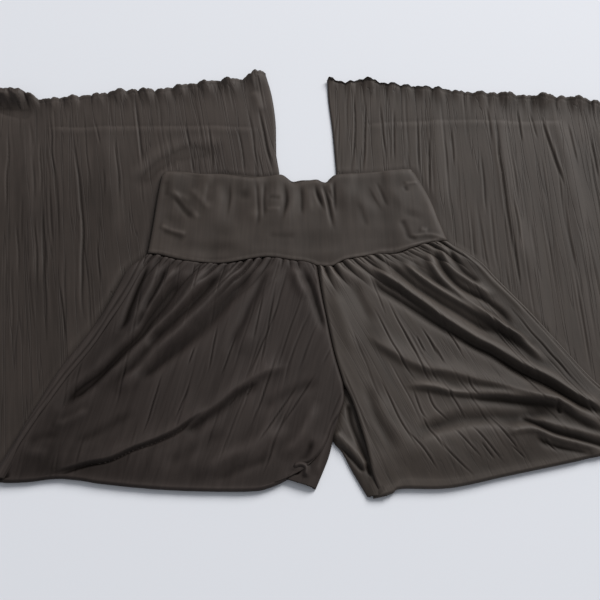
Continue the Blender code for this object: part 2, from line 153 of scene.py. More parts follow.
LEFT_UNDER_EDGE = [(57, -271), (53, -291), (46, -308), (36, -331)]
RIGHT_UNDER_EDGE = [(57, -271), (69, -288), (77, -306), (84, -322), (96, -338)]
LEFT_LOWER_INSEAM = [(14, -314), (2, -100), (-11, 120), (-18, 175), (-20, 240), (-27, 298), (-38, 346)]
LEFT_LOWER_OUTSEAM = [(-344, -326), (-440, -50), (-525, 150), (-582.5, 272)]
LEFT_HEM = [
    (-582.5, 272), (-520, 286), (-457, 300), (-419, 299), (-391, 288), (-360, 290), (-326, 294),
    (-298, 298), (-267, 304), (-236, 306), (-204, 307), (-176, 315), (-134, 322), (-102, 327),
    (-78, 329), (-61, 339), (-50, 345), (-38, 344),
]
RIGHT_LOWER_INSEAM = [(104, -346), (88, -100), (73, 110), (70, 168), (67, 227), (62, 289), (61, 333)]
RIGHT_LOWER_OUTSEAM = [(456, -276), (500, -80), (545, 110), (582.5, 264)]
RIGHT_HEM = [
    (61, 331), (89, 322), (121, 327), (153, 320), (208, 313), (250, 307), (289, 301), (333, 298),
    (372, 294), (409, 292), (450, 289), (487, 279), (520, 275), (582.5, 264),
]
LEFT_FLAP_INNER = [(50, -205), (48, -235), (34, -262), (18, -290), (2, -322)]
LEFT_FLAP_OUTER = [(70, -215), (67, -245), (58, -272), (53, -291), (47, -307), (36, -333)]
RIGHT_FLAP_INNER = [(90, -205), (98, -240), (106, -275), (114, -308), (120, -342)]
RIGHT_FLAP_OUTER = [(68, -205), (62, -240), (57, -270), (69, -288), (80, -311), (97, -342)]

# A crease is a soft ridge, or a trough if its height is negative: its path, its height, its half widths on
# the left and on the right of the path, and how far its ends fade, where that isn't 28.
Crease = namedtuple("Crease", "path height left right taper", defaults=(28,))

LEFT_LEG_CREASES = [
    # The long fold that sweeps across the leg, with its steep side to the folded edge
    ([(-296, -318), (-240, -303), (-208, -295), (-173, -281), (-142, -268), (-119, -249),
     (-94, -232)], 4.2, 24, 1.9, 40),
    ([(-130, -260), (-110, -245), (-90, -231), (-68, -211), (-37, -190), (4, -173)], 3.8, 22, 6, 34),
    ([(-276, -320), (-238, -307), (-207, -298), (-172, -285), (-140, -272),
     (-116, -250)], -1.8, 1.4, 2.2, 20),
    ([(-126, -268), (-104, -250), (-84, -234), (-62, -216), (-30, -198)], -2.6, 3.5, 9, 20),
    # Drapes that fan out from the waist seam
    ([(-186, -12), (-198, -50), (-208, -97), (-222, -130)], -4.1, 4.5, 4.5),
    ([(-172, -18), (-184, -56), (-196, -95), (-210, -125)], 3.1, 4.5, 4.5),
    ([(-163, -21), (-175, -58), (-187, -97), (-201, -125)], -3.6, 3.5, 3.5),
    ([(-153, -21), (-164, -50), (-178, -81), (-196, -119)], 4.6, 5, 6),
    ([(-138, -36), (-156, -66), (-174, -97), (-196, -141), (-235, -186), (-285, -236)], -7.6, 9, 8, 40),
    ([(-108, -26), (-130, -66), (-155, -105), (-190, -150), (-240, -205)], 6.7, 9, 7, 34),
    ([(-94, -34), (-110, -61), (-153, -112), (-180, -150)], -6, 6.5, 5.5, 24),
    ([(-64, -21), (-92, -66), (-125, -108), (-172, -165), (-215, -215)], 6.7, 9, 8, 36),
    ([(-44, -26), (-69, -66), (-113, -126), (-160, -168), (-205, -200)], -5.5, 10, 10, 36),
    ([(4, -21), (14, -48), (24, -78)], 3.1, 7, 6, 20),
    ([(20, -26), (31, -58), (44, -100), (52, -130)], -3.6, 5, 6, 24),
    ([(-14, -24), (-22, -60), (-40, -110), (-62, -160)], 2.9, 11, 10, 30),
    ([(-26, -24), (-36, -60), (-56, -110), (-80, -158)], -2.2, 6, 6, 30),
    # Low ripples along the folded edge
    ([(-316, -283), (-298, -273), (-272, -266)], -1.0, 7, 6, 16),
    ([(-318, -292), (-300, -290), (-278, -292)], 1.2, 6, 7, 16),
    ([(-285, -258), (-262, -247), (-240, -236)], 1.6, 6, 6, 14),
    ([(-262, -282), (-225, -262), (-185, -238)], -1.4, 7, 7, 24),
    ([(-115, -318), (-72, -297), (-31, -278), (5, -250)], 3.4, 12, 10, 34),
    ([(-150, -306), (-105, -283), (-70, -262)], -1.8, 9, 9, 24),
    ([(-90, -326), (-50, -310), (-14, -290)], -1.6, 6, 6, 20),
    ([(-8, -302), (22, -262), (38, -222)], 2.4, 8, 8, 26),
    ([(2, -322), (22, -296), (34, -274)], -2.2, 4, 4, 12),
    ([(-38, -238), (0, -214), (44, -196)], -1.6, 8, 8, 24),
]
RIGHT_LEG_CREASES = [
    # The main fold, with its steep dark side to the folded edge
    ([(113, -26), (152, -62), (202, -105), (262, -149), (298, -174), (327, -191), (355, -212),
     (400, -244)], 8.0, 12, 4.2, 30),
    ([(110, -38), (144, -76), (207, -121), (267, -160), (302, -186), (353, -220),
     (385, -246)], -3.0, 3, 7, 30),
    ([(131, -13), (172, -58), (228, -100), (275, -132)], -3.0, 5, 5),
    ([(154, -14), (192, -55), (242, -92), (278, -117), (318, -148)], 4.6, 8, 4.5),
    ([(166, -10), (200, -50), (250, -87), (284, -110)], -1.6, 5, 5),
    ([(190, -2), (213, -53), (267, -104), (335, -175)], 4.8, 7, 5, 30),
    ([(197, 2), (228, -52), (270, -83), (300, -120)], -3.2, 4, 4),
    ([(207, 11), (222, -26), (250, -52), (278, -76)], 3.0, 6, 5, 20),
    ([(221, 6), (240, -30), (263, -57)], -2.8, 4, 4, 16),
    ([(234, 6), (258, -22), (285, -55), (320, -105)], 2.4, 6, 5, 24),
    # Folds that cross the leg towards its outseam
    ([(102, -126), (139, -158), (176, -177), (207, -183), (250, -196), (300, -212), (345, -228),
     (395, -252)], 4.0, 15, 6, 40),
    ([(190, -190), (229, -212), (280, -226), (332, -233)], -2.4, 7, 9, 34),
    ([(143, -200), (190, -207), (233, -213), (283, -218), (334, -226), (365, -245),
     (400, -264)], 4.8, 9, 4.5, 34),
    ([(335, -222), (337, -232), (337, -243)], -2.4, 2.4, 2.4, 6),
    # The hollow above the swell of the folded edge
    ([(153, -269), (201, -251), (244, -244), (280, -245), (316, -241), (341, -243)], -3.4, 9, 10, 34),
    ([(144, -293), (188, -272), (228, -261), (277, -264), (311, -275)], 2.2, 10, 20, 30),
    ([(286, -246), (313, -258), (345, -268), (392, -281), (430, -284)], -4.2, 3.2, 4, 16),
    ([(300, -246), (336, -257), (386, -270), (424, -276)], 2.6, 6, 4, 20),
    ([(262, -266), (300, -263), (340, -274), (392, -289)], 2.8, 9, 4, 24),
    ([(300, -272), (334, -283), (384, -295)], -2.0, 2.5, 5, 16),
    # Soft hollows beside the inseam
    ([(60, -60), (74, -110), (92, -160)], 1.6, 9, 9),
    ([(84, -40), (98, -82), (116, -120)], -1.8, 8, 8),
    ([(108, -210), (132, -258), (158, -300)], 1.8, 10, 10),
    ([(98, -196), (114, -244), (136, -296)], -1.5, 7, 7),
]
LEFT_LOWER_CREASES = [
    ([(-480, 298), (-457, 298), (-436, 294), (-408, 284)], 6.5, 14, 11, 18),
    ([(-500, 270), (-450, 268), (-400, 254)], -1.6, 8, 7, 14),
    ([(-450, 268), (-420, 264), (-396, 262)], -1.0, 8, 8, 12),
    ([(-381, 228), (-300, 229), (-212, 229), (-120, 230), (-41, 229)], 1.0, 3.5, 9),
    ([(-224, 112), (-192, 160), (-149, 184), (-96, 182)], -1.6, 13, 14, 30),
    ([(-236, 128), (-200, 182), (-150, 206), (-90, 204)], 0.8, 12, 12, 30),
    ([(-545, 260), (-525, 200), (-505, 120)], 2.6, 11, 11, 40),
    ([(-405, 240), (-375, 90), (-340, -60)], 1.6, 12, 12, 60),
    ([(-290, 260), (-262, 130), (-232, 10)], 1.5, 12, 12, 60),
    ([(-60, 310), (-50, 290), (-44, 262)], 1.6, 7, 7, 14),
]
RIGHT_LOWER_CREASES = [
    ([(110, 236), (200, 242), (318, 243), (430, 238)], 0.7, 3.5, 9),
    ([(232, 290), (226, 170), (222, 60)], 1.5, 13, 13, 60),
    ([(330, 280), (326, 120), (330, -40)], 1.4, 11, 11, 60),
    ([(416, 270), (420, 110), (412, -40)], 1.8, 12, 12, 60),
    ([(480, 262), (474, 150), (468, 60)], 1.4, 12, 12, 50),
    ([(556, 225), (540, 150), (528, 80)], 2.2, 11, 11, 40),
]
BAND_CREASES = [
    # The lit dents at the left end
    ([(-170, 105), (-153, 85), (-123, 51)], 1.6, 4.7, 4.1, 16),
    ([(-164, 102), (-146, 78), (-128, 54)], -1.1, 4.1, 6.8, 16),
    ([(-167, 96), (-147, 68), (-134, 52)], -0.97, 6.8, 4.1, 16),
    ([(-145, 111), (-123, 85), (-108, 66)], 0.89, 6.8, 4.7, 14),
    ([(-180, 44), (-165, 34), (-142, 26)], 1.1, 4.7, 3.4, 8),
    ([(-178, 36), (-160, 26), (-142, 19)], -1, 5.4, 6.8, 10),
    ([(-179, 126), (-177, 108), (-176, 91)], -0.8, 5.4, 5.4, 10),
    ([(-116, 126), (-115, 100), (-115, 73)], -0.72, 8.1, 3.4, 18),
    ([(-108, 124), (-100, 100), (-94, 76)], 0.56, 9.5, 9.5, 18),
    ([(-156, 100), (-140, 66), (-132, 40)], -0.8, 16, 16, 34),
    ([(-176, 110), (-160, 96), (-140, 84)], 1.3, 6, 6, 20),
    ([(-182, 66), (-162, 50), (-150, 30)], -1.0, 10, 8, 24),
    ([(-86, 128), (-84, 96), (-86, 50)], -1.3, 2.5, 9, 40),
    ([(-68, 110), (-64, 96), (-62, 84)], -1.2, 8, 8, 14),
    ([(-60, 76), (-48, 62), (-40, 50)], 0.9, 9, 9, 24),
    ([(-118, 44), (-96, 34), (-70, 30)], -0.7, 12, 10, 24),
    # Upright creases over the middle
    ([(-48, 126), (-43, 85), (-43, 40)], -1, 3, 3, 20),
    ([(-36, 126), (-34, 96), (-35, 51)], -0.89, 3, 3, 20),
    ([(-29, 96), (-20, 93), (-10, 91)], -0.72, 4.1, 4.1, 6),
    ([(-33, 71), (-22, 72), (-10, 71)], 0.64, 4.1, 5.4, 6),
    ([(-22, 124), (-20, 90), (-22, 50)], 0.8, 9.5, 8.1, 30),
    ([(-8, 126), (-3, 85), (-10, 44)], -1.9, 2.8, 5, 44),
    ([(5, 122), (7, 92), (4, 58)], 0.97, 6.8, 8.1, 26),
    ([(18, 120), (19, 90), (20, 57)], -1, 3, 3.5, 20),
    ([(27, 120), (29, 92), (33, 62)], 0.72, 5.4, 5.4, 20),
    ([(38, 123), (43, 96), (54, 66)], -2.2, 2.8, 3.6, 40),
    ([(49, 122), (59, 79), (66, 30)], -3.0, 2.8, 3.4, 60),
    ([(45, 120), (51, 92), (59, 60)], 1.3, 3.4, 3.4, 34),
    ([(69, 128), (67, 100), (68, 62)], -2.0, 2.6, 3.4, 40),
    ([(60, 124), (64, 100), (66, 80)], 0.72, 3.5, 3.5, 14),
    ([(59, 108), (62, 96), (65, 85)], -0.8, 2.7, 2.7, 8),
    ([(80, 126), (84, 92), (86, 60)], 0.97, 9.5, 9.5, 24),
    ([(-31, 27), (-10, 26), (12, 27)], -0.48, 5.4, 5.4, 10),
    # Faint ones over the right end
    ([(100, 85), (107, 60), (113, 37)], -0.56, 4.1, 5.4, 14),
    ([(96, 120), (108, 84), (120, 46)], 1.0, 12, 12, 50),
    ([(112, 118), (124, 88), (136, 62)], -1.2, 3, 12, 44),
    ([(150, 116), (162, 86), (170, 60)], 1.0, 12, 9, 44),
    ([(158, 66), (176, 60), (196, 52)], -1.0, 9, 6, 24),
    ([(128, 123), (136, 98), (143, 73)], -0.72, 3, 3, 14),
    ([(168, 117), (180, 119), (190, 121)], 0.97, 4.1, 3.4, 6),
    ([(169, 115), (171, 108), (173, 102)], -0.89, 3.4, 3.4, 6),
    ([(160, 54), (166, 36), (170, 24), (183, 21)], -1.1, 4.1, 4.7, 8),
    ([(170, 24), (197, 28), (223, 19)], 1, 3.4, 4.1, 8),
    ([(184, 37), (190, 35), (197, 33)], 0.97, 4.1, 4.1, 5),
    ([(115, -2), (151, 4), (190, 12), (219, 17)], 0.8, 4.1, 3.4, 20),
    # The turning over the seam allowance
    ([(-192, 3), (-150, -4), (-110, -9), (-72, -8)], 0.8, 11, 5.4, 24),
    ([(-188, 22), (-150, 14), (-108, 6), (-60, 8)], -0.64, 9.5, 9.5, 24),
    ([(-72, 2), (-20, 4), (30, -6), (90, 6)], 0.48, 9.5, 9.5, 30),
]
LEFT_FLAP_CREASES = [
    ([(60, -240), (48, -280), (36, -318)], 1.6, 5, 5, 12),
    ([(8, -308), (17, -304), (25, -308), (24, -320)], 3.4, 3, 3, 5),
    ([(12, -310), (17, -316)], -3.0, 3, 3, 3),
]
RIGHT_FLAP_CREASES = [
    ([(58, -262), (72, -276), (85, -290), (100, -308)], 3.0, 5, 7, 8),
    ([(60, -279), (76, -291), (95, -314)], -3.0, 2.2, 3.5, 8),
    ([(77, -225), (80, -250), (88, -274), (96, -297), (103, -320)], -2.5, 3, 3, 8),
]

# Pressed pleats: their paths, and on the lower layer how deep they are
LEFT_LEG_PLEATS = [
    [(-118, -148), (-125, -176)], [(-90, -111), (-99, -190)], [(-155, -180), (-174, -277)],
    [(-8, -78), (-51, -202)], [(-14, -50), (-35, -194)], [(-64, -128), (-84, -196)],
    [(-30, -60), (-44, -150)], [(18, -196), (-38, -290)], [(40, -182), (-8, -264)],
    [(-120, -200), (-136, -252)], [(-60, -214), (-72, -232)], [(-40, -200), (-52, -220)],
]
RIGHT_LEG_PLEATS = [
    [(184, -273), (197, -291), (222, -316), (228, -325)], [(203, -258), (219, -277), (238, -299)],
    [(222, -254), (241, -273), (259, -299), (264, -307)], [(248, -239), (263, -262), (288, -297)],
    [(159, -208), (168, -239), (177, -251)], [(176, -204), (184, -232), (204, -251)],
    [(195, -192), (210, -224), (222, -251)], [(175, -117), (191, -151), (197, -172)],
    [(130, -69), (145, -109), (162, -147), (177, -188), (189, -220)],
    [(228, -188), (234, -208), (243, -220)], [(271, -280), (290, -299)],
    [(146, -262), (169, -291), (184, -316)], [(166, -239), (178, -266), (193, -291)],
    [(182, -130), (194, -164)], [(168, -130), (179, -160)], [(191, -147), (202, -176)],
    [(118, -190), (136, -240), (160, -290)], [(112, -84), (140, -152), (168, -206)],
    [(236, -276), (252, -300)], [(312, -270), (330, -292)], [(208, -120), (226, -160)],
]
LEFT_LOWER_PLEATS = [
    ([(-388, 66), (-366, -44)], 0.8), ([(-365, 83), (-335, -75)], 0.9),
    ([(-355, 92), (-312, -150)], 1.7), ([(-379, 214), (-358, 92)], 0.9),
    ([(-370, 254), (-332, 74)], 1.0), ([(-310, -44), (-285, -150)], 0.9),
    ([(-330, 226), (-292, 53), (-276, -75), (-261, -121)], 1.6), ([(-267, 31), (-253, -59)], 0.9),
    ([(-266, 226), (-242, 83)], 0.9), ([(-243, 298), (-215, 148)], 1.5),
    ([(-162, 252), (-141, 148)], 1.0), ([(-125, 246), (-110, 138)], 1.3),
    ([(-78, 236), (-62, 136)], 1.1), ([(-67, 288), (-42, 138)], 1.3),
    ([(-48, 281), (-39, 222), (-22, 144)], 2.0), ([(-430, 230), (-404, 60)], 1.2),
    ([(-470, 240), (-430, 40)], 1.3), ([(-520, 240), (-490, 130)], 1.3),
    ([(-300, 250), (-282, 190)], 0.8),
]
RIGHT_LOWER_PLEATS = [
    ([(103, 313), (102, 236), (96, 148)], 1.4), ([(121, 288), (111, 138)], 1.3),
    ([(143, 288), (146, 157)], 1.0), ([(165, 277), (158, 157)], 1.1), ([(200, 267), (194, 129)], 1.0),
    ([(215, 226), (206, 92)], 1.3), ([(322, 273), (315, 74), (318, -44)], 1.5),
    ([(356, 273), (355, 196)], 1.0), ([(392, 261), (397, 196), (404, 114)], 2.0),
    ([(375, 265), (377, 240), (380, 205)], 0.9), ([(460, 216), (459, 129)], 1.2),
    ([(319, 39), (318, -59)], 1.0), ([(515, 240), (506, 90)], 1.3), ([(250, 240), (246, 150)], 0.9),
    ([(430, 250), (432, 150)], 0.9), ([(290, 200), (286, 60)], 0.9),
]

# The waves of each hem: how far they lift at these places along X
LEFT_HEM_WAVES = [
    (-555, 3.5), (-520, 2.5), (-490, 5), (-452, 9), (-430, 10), (-408, 7), (-372, 3), (-341, 4.5),
    (-303, 3), (-268, 6), (-247, 3), (-227, 6), (-200, 3.5), (-173, 5.5), (-152, 3), (-134, 6), (-96, 7),
    (-56, 8),
]
RIGHT_HEM_WAVES = [
    (67, 4), (98, 2.5), (128, 6.5), (165, 4), (187, 3), (215, 4.5), (237, 5), (268, 2.5), (303, 4.5),
    (326, 2.5), (344, 7), (372, 3), (401, 9), (428, 3), (455, 7), (481, 4), (515, 4.5), (550, 3.5),
]

# How far the gathers run to -X for each step below the waist seam, from places along X
LEFT_GATHER_SLANT = [(-194, 0.3), (-130, 0.55), (-70, 0.8), (-20, 0.4), (10, -0.1), (41, -0.4)]
RIGHT_GATHER_SLANT = [(41, -0.1), (90, -0.4), (150, -0.5), (190, -0.3), (225, 0)]

# Painted light on the front legs: how much lighter the cloth is painted at places along X, and below zero
# how much darker, as painted shade
LEFT_PAINTED_LIGHT = [(-330, -0.32), (-230, -0.36), (-150, 0.05), (-60, 0.2), (20, 0.05), (60, 0)]
RIGHT_PAINTED_LIGHT = [(60, 0.1), (140, 0.05), (220, 0.0), (300, -0.28), (400, -0.28)]

# hem painted light is how much lighter the lower layer is painted at the hem, and lean how far its pleats
# run to +X for each step towards the hem
Leg = namedtuple("Leg", "name outward seam outseam inseam fold silhouette lower_left lower_right hem "
                        "creases pleats lower_creases lower_pleats waves slant light hem_light lean seed "
                        "flap_inner flap_outer flap_creases flap_top flap_seed")
LEFT = Leg(
    "left", -1, WAIST_SEAM_LEFT, LEFT_OUTSEAM, LEFT_INSEAM, LEFT_FOLD, LEFT_SILHOUETTE, LEFT_LOWER_OUTSEAM,
    LEFT_LOWER_INSEAM, LEFT_HEM, LEFT_LEG_CREASES, LEFT_LEG_PLEATS, LEFT_LOWER_CREASES, LEFT_LOWER_PLEATS,
    LEFT_HEM_WAVES, LEFT_GATHER_SLANT, LEFT_PAINTED_LIGHT, 0.65, -0.185, 11,
    LEFT_FLAP_INNER, LEFT_FLAP_OUTER, LEFT_FLAP_CREASES, 6.5, 71,
)
RIGHT = Leg(
    "right", 1, WAIST_SEAM_RIGHT, RIGHT_OUTSEAM, RIGHT_INSEAM, RIGHT_FOLD, RIGHT_SILHOUETTE,
    RIGHT_LOWER_INSEAM, RIGHT_LOWER_OUTSEAM, RIGHT_HEM, RIGHT_LEG_CREASES, RIGHT_LEG_PLEATS,
    RIGHT_LOWER_CREASES, RIGHT_LOWER_PLEATS, RIGHT_HEM_WAVES, RIGHT_GATHER_SLANT, RIGHT_PAINTED_LIGHT, 0.12, 0.02,
    23,
    RIGHT_FLAP_INNER, RIGHT_FLAP_OUTER, RIGHT_FLAP_CREASES, 6.0, 72,
)


# ---- Curves and grids

def smooth(points, steps=8):
    """A dense curve that passes through the points without corners (Catmull-Rom)."""
    p = np.array(points, float)
    p = np.vstack([2 * p[0] - p[1], p, 2 * p[-1] - p[-2]])
    t = np.linspace(0, 1, steps, endpoint=False)[:, None]
    spans = []
    for a, b, c, d in zip(p[:-3], p[1:-2], p[2:-1], p[3:]):
        spans.append(0.5 * (2 * b + (c - a) * t + (2 * a - 5 * b + 4 * c - d) * t**2
                            + (3 * b - a - 3 * c + d) * t**3))
    return np.vstack(spans + [p[-2:-1]])


def spaced(line, shares):
    """The points of a line at these shares of its length."""
    steps = np.linalg.norm(np.diff(line, axis=0), axis=1)
    along = np.concatenate([[0], np.cumsum(steps)])
    at = np.asarray(shares) * along[-1]
    return np.stack([np.interp(at, along, line[:, axis]) for axis in range(line.shape[1])], axis=1)


def curve(points, shares):
    return spaced(smooth(points), shares)


def even(count):
    return np.linspace(0, 1, count)


def patch(top, bottom, left, right, u, v):
    """A grid of points that fills four edges (a Coons patch). Rows run from top to bottom."""
    left[0], right[0] = top[0], top[-1]
    left[-1], right[-1] = bottom[0], bottom[-1]
    u = u[None, :, None]
    v = v[:, None, None]
    across = (1 - v) * top[None] + v * bottom[None]
    down = (1 - u) * left[:, None] + u * right[:, None]
    corners = ((1 - u) * (1 - v) * top[0] + u * (1 - v) * top[-1]
               + (1 - u) * v * bottom[0] + u * v * bottom[-1])
    return across + down - corners


def from_top(grid):
    """How far down its column each point of a grid is."""
    steps = np.linalg.norm(np.diff(grid, axis=0), axis=-1)
    return np.vstack([np.zeros(grid.shape[1]), np.cumsum(steps, axis=0)])


def nearest(points, line):
    """For each point: its distance to a line, the place along the line, and whether it lies to its left."""
    best = np.full(points.shape[:-1], np.inf)
    place = np.zeros(points.shape[:-1])
    left = np.ones(points.shape[:-1], bool)
    done = 0.0
    for a, b in zip(line[:-1], line[1:]):
        run = b - a
        length = max(np.hypot(*run), 1e-9)
        x = points[..., 0] - a[0]
        y = points[..., 1] - a[1]
        share = np.clip((x * run[0] + y * run[1]) / length**2, 0, 1)
        away = np.hypot(x - share * run[0], y - share * run[1])
        closer = away < best
        best = np.where(closer, away, best)
        place = np.where(closer, done + share * length, place)
        left = np.where(closer, run[0] * y - run[1] * x > 0, left)
        done += length
    return best, place, left


def distance(points, line):
    return nearest(points, line)[0]


def away_from(points, *outlines):
    """The distance to the nearest of the curves through these outlines."""
    return np.minimum.reduce([distance(points, smooth(outline)) for outline in outlines])


def inside(points, loop):
    """Whether each point is inside a closed line."""
    found = np.zeros(points.shape[:-1], bool)
    for a, b in zip(loop, np.roll(loop, -1, axis=0)):
        crosses = (a[1] > points[..., 1]) != (b[1] > points[..., 1])
        rise = b[1] - a[1] if b[1] != a[1] else 1e-9
        found ^= crosses & (points[..., 0] < a[0] + (points[..., 1] - a[1]) * (b[0] - a[0]) / rise)
    return found


def facing(loop):
    """The outward direction at each point of a closed line that runs clockwise."""
    run = np.roll(loop, -1, axis=0) - np.roll(loop, 1, axis=0)
    outward = np.stack([-run[:, 1], run[:, 0]], axis=1)
    return outward / np.maximum(np.linalg.norm(outward, axis=1, keepdims=True), 1e-9)


def ease(share):
    share = np.clip(share, 0, 1)
    return share * share * (3 - 2 * share)


def rounded(share):
    """A quarter circle: 0 at an edge, 1 where the rounding ends."""
    return np.sqrt(np.clip(1 - (1 - np.clip(share, 0, 1))**2, 0, 1))


def falloff(away, width):
    """A soft peak: 1 at no distance, and close to 0 beyond two widths."""
    return np.exp(-(away / width)**2)


def at_least(values, least, softness=0.8):
    """The values, raised smoothly where they fall below the least."""
    return (values + least + np.sqrt((values - least)**2 + softness**2)) / 2


def noise(x, y, seed):
    """Smooth random values from -1 to 1 that turn about once for each unit of x and y."""
    wide, high = NOISE_GRID
    table = np.random.default_rng(seed).uniform(-1, 1, (high, wide))
    x, y = np.broadcast_arrays(np.asarray(x, float), np.asarray(y, float))
    column = np.floor(x).astype(int)
    row = np.floor(y).astype(int)
    across = ease(x - column)
    down = ease(y - row)
    first, second = [table[at % high, column % wide] * (1 - across)
                     + table[at % high, (column + 1) % wide] * across for at in (row, row + 1)]
    return first * (1 - down) + second * down


# ---- Relief

def relief(points, creases):
    """The height that the creases add at each point."""
    flat = points.reshape(-1, 2)
    height = np.zeros(len(flat))
    for row in creases:
        crease = Crease(*row)
        line = smooth(crease.path, 6)
        reach = 2.5 * max(crease.left, crease.right)
        near = np.all((flat > line.min(axis=0) - reach) & (flat < line.max(axis=0) + reach), axis=1)
        away, place, left = nearest(flat[near], line)
        total = np.linalg.norm(np.diff(line, axis=0), axis=1).sum()
        taper = min(crease.taper, total / 2)
        ends = ease(place / taper) * ease((total - place) / taper)
        height[near] += crease.height * falloff(away, np.where(left, crease.left, crease.right)) * ends
    return height.reshape(points.shape[:-1])


def warped(points, size, amount, seed):
    """The points moved a little, so that creases laid over them run unevenly."""
    x, y = points[..., 0] / size, points[..., 1] / size
    return points + amount * np.stack([noise(x, y, seed), noise(x, y, seed + 1)], axis=-1)


def pleat(path, depth, width, flip=1):
    """A pressed pleat: a narrow groove with a low raised lip on one side."""
    length = np.hypot(path[0][0] - path[-1][0], path[0][1] - path[-1][1])
    lip = [(x + flip * 2.2 * width, y) for x, y in path]
    taper = 0.35 * length
    return [(path, -depth, width, width, taper), (lip, 0.3 * depth, 1.6 * width, 1.6 * width, taper)]


def scattered_pleats(count, corners, lean, lengths, depths, widths, seed):
    """Pleats at random places in a box. lean(x, y) is how far they run to +X for each step to +Y."""
    rng = np.random.default_rng(seed)
    (low_x, low_y), (high_x, high_y) = corners
    made = []
    for _ in range(count):
        x = rng.uniform(low_x, high_x)
        y = rng.uniform(low_y, high_y)
        length = rng.uniform(*lengths)
        slope = lean(x, y) + rng.normal(0, 0.015)
        half = length / 2
        bow = rng.normal(0, 1.2)
        path = [(x + slope * half, y + half), (x + bow, y), (x - slope * half, y - half)]
        depth = rng.uniform(*depths) * rng.uniform(0.5, 1)
        made += pleat(path, depth, rng.uniform(*widths), rng.choice((-1, 1)))
    return made


def undulation(across, along, seed, sizes):
    """Low uneven waves along the grain, from (size, height) pairs."""
    height = 0
    for i, (size, amount) in enumerate(sizes):
        height = height + amount * noise(across / size, along / (size * 7), seed + i)
    return height


def bumps(along, spacing, seed):
    """Rounded bumps with sharp dips between them, unevenly spaced, from 0 to 1."""
    return np.abs(np.sin(np.pi * (along / spacing + noise(along / (2.2 * spacing), 0.5, seed))))**0.6


# ---- The form of the folded body

WAIST_SEAM = np.vstack([smooth(WAIST_SEAM_LEFT), smooth(WAIST_SEAM_RIGHT)])
LEFT_SIDE = np.vstack([smooth(BAND_LEFT_EDGE), smooth(LEFT_SILHOUETTE)])
RIGHT_SIDE = np.vstack([smooth(BAND_RIGHT_EDGE), smooth(RIGHT_SILHOUETTE)])
TOP_LINE = smooth(BAND_TOP_EDGE)
CROTCH_EDGE = np.vstack([smooth(LEFT_UNDER_EDGE)[::-1], smooth(RIGHT_UNDER_EDGE)])
UPPER_OUTLINE = np.vstack([
    TOP_LINE, RIGHT_SIDE, smooth(RIGHT_FOLD)[::-1],
    CROTCH_EDGE[::-1], smooth(LEFT_FOLD)[::-1], LEFT_SIDE[::-1],
])


def below_waist(points):
    """0 on the band and 1 on the legs, with a soft rise below the waist seam."""
    seam_y = np.interp(points[..., 0], WAIST_SEAM[:, 0], WAIST_SEAM[:, 1])
    return ease((seam_y - points[..., 1]) / LEG_RISE)


def crown(points):
    """The outer height of the folded body, which falls off towards its open edges and its sides."""
    full = BAND_FULL + (LEG_FULL - BAND_FULL) * below_waist(points)
    depth = np.minimum(distance(points, CROTCH_EDGE), distance(points, TOP_LINE))
    side = np.minimum(distance(points, LEFT_SIDE), distance(points, RIGHT_SIDE))
    height = EDGE_HEIGHT + (full - EDGE_HEIGHT) * rounded(depth / CROWN_ROUNDING)
    return height - SIDE_DROP * (1 - rounded(side / SIDE_ROUNDING))


# ---- Meshes

def lift(points, height):
    return np.concatenate([points, np.broadcast_to(height, points.shape[:-1])[..., None]], axis=-1)


def grid_faces(rows, columns, first=0, flipped=False):
    place = first + np.arange(rows * columns).reshape(rows, columns)
    a, b, c, d = place[:-1, :-1], place[1:, :-1], place[1:, 1:], place[:-1, 1:]
    corners = (a, d, c, b) if flipped else (a, b, c, d)
    return np.stack([corner.ravel() for corner in corners], axis=1)


def make_object(name, points, faces, material, attributes):
    mesh = bpy.data.meshes.new(name)
    mesh.from_pydata((np.asarray(points) * MM).tolist(), [], faces)
    for label, values in attributes.items():
        mesh.attributes.new(label, "FLOAT", "POINT").data.foreach_set("value", values)
    mesh.materials.append(material)
    mesh.validate()
    mesh.shade_smooth()
    made = bpy.data.objects.new(name, mesh)
    bpy.context.scene.collection.objects.link(made)
    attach(made, "root")
    return made


def around(place):
    """The places along the edge of a grid, all round."""
    return np.concatenate([place[0, :-1], place[:-1, -1], place[-1, :0:-1], place[:0:-1, 0]])


def blurred(values, reach):
    """Each grid value made the mean of those around it."""
    for axis in (0, 1):
        edges = [(0, 0), (0, 0)]
        edges[axis] = (reach + 1, reach)
        total = np.cumsum(np.pad(values, edges, mode="edge"), axis=axis)
        count = values.shape[axis]
        low = np.take(total, np.arange(count), axis=axis)
        high = np.take(total, np.arange(count) + 2 * reach + 1, axis=axis)
        values = (high - low) / (2 * reach + 1)
    return values


def hollows(height):
    """How far each place lies in a hollow, up to 1, or on a ridge, down to -1."""
    fine = (blurred(height, 2) - height) / 0.9
    broad = (blurred(blurred(height, 6), 6) - height) / 2.5
    return np.clip(np.clip(fine, -0.2, 0.9) + np.clip(broad, -0.4, 0.65), -1, 1)


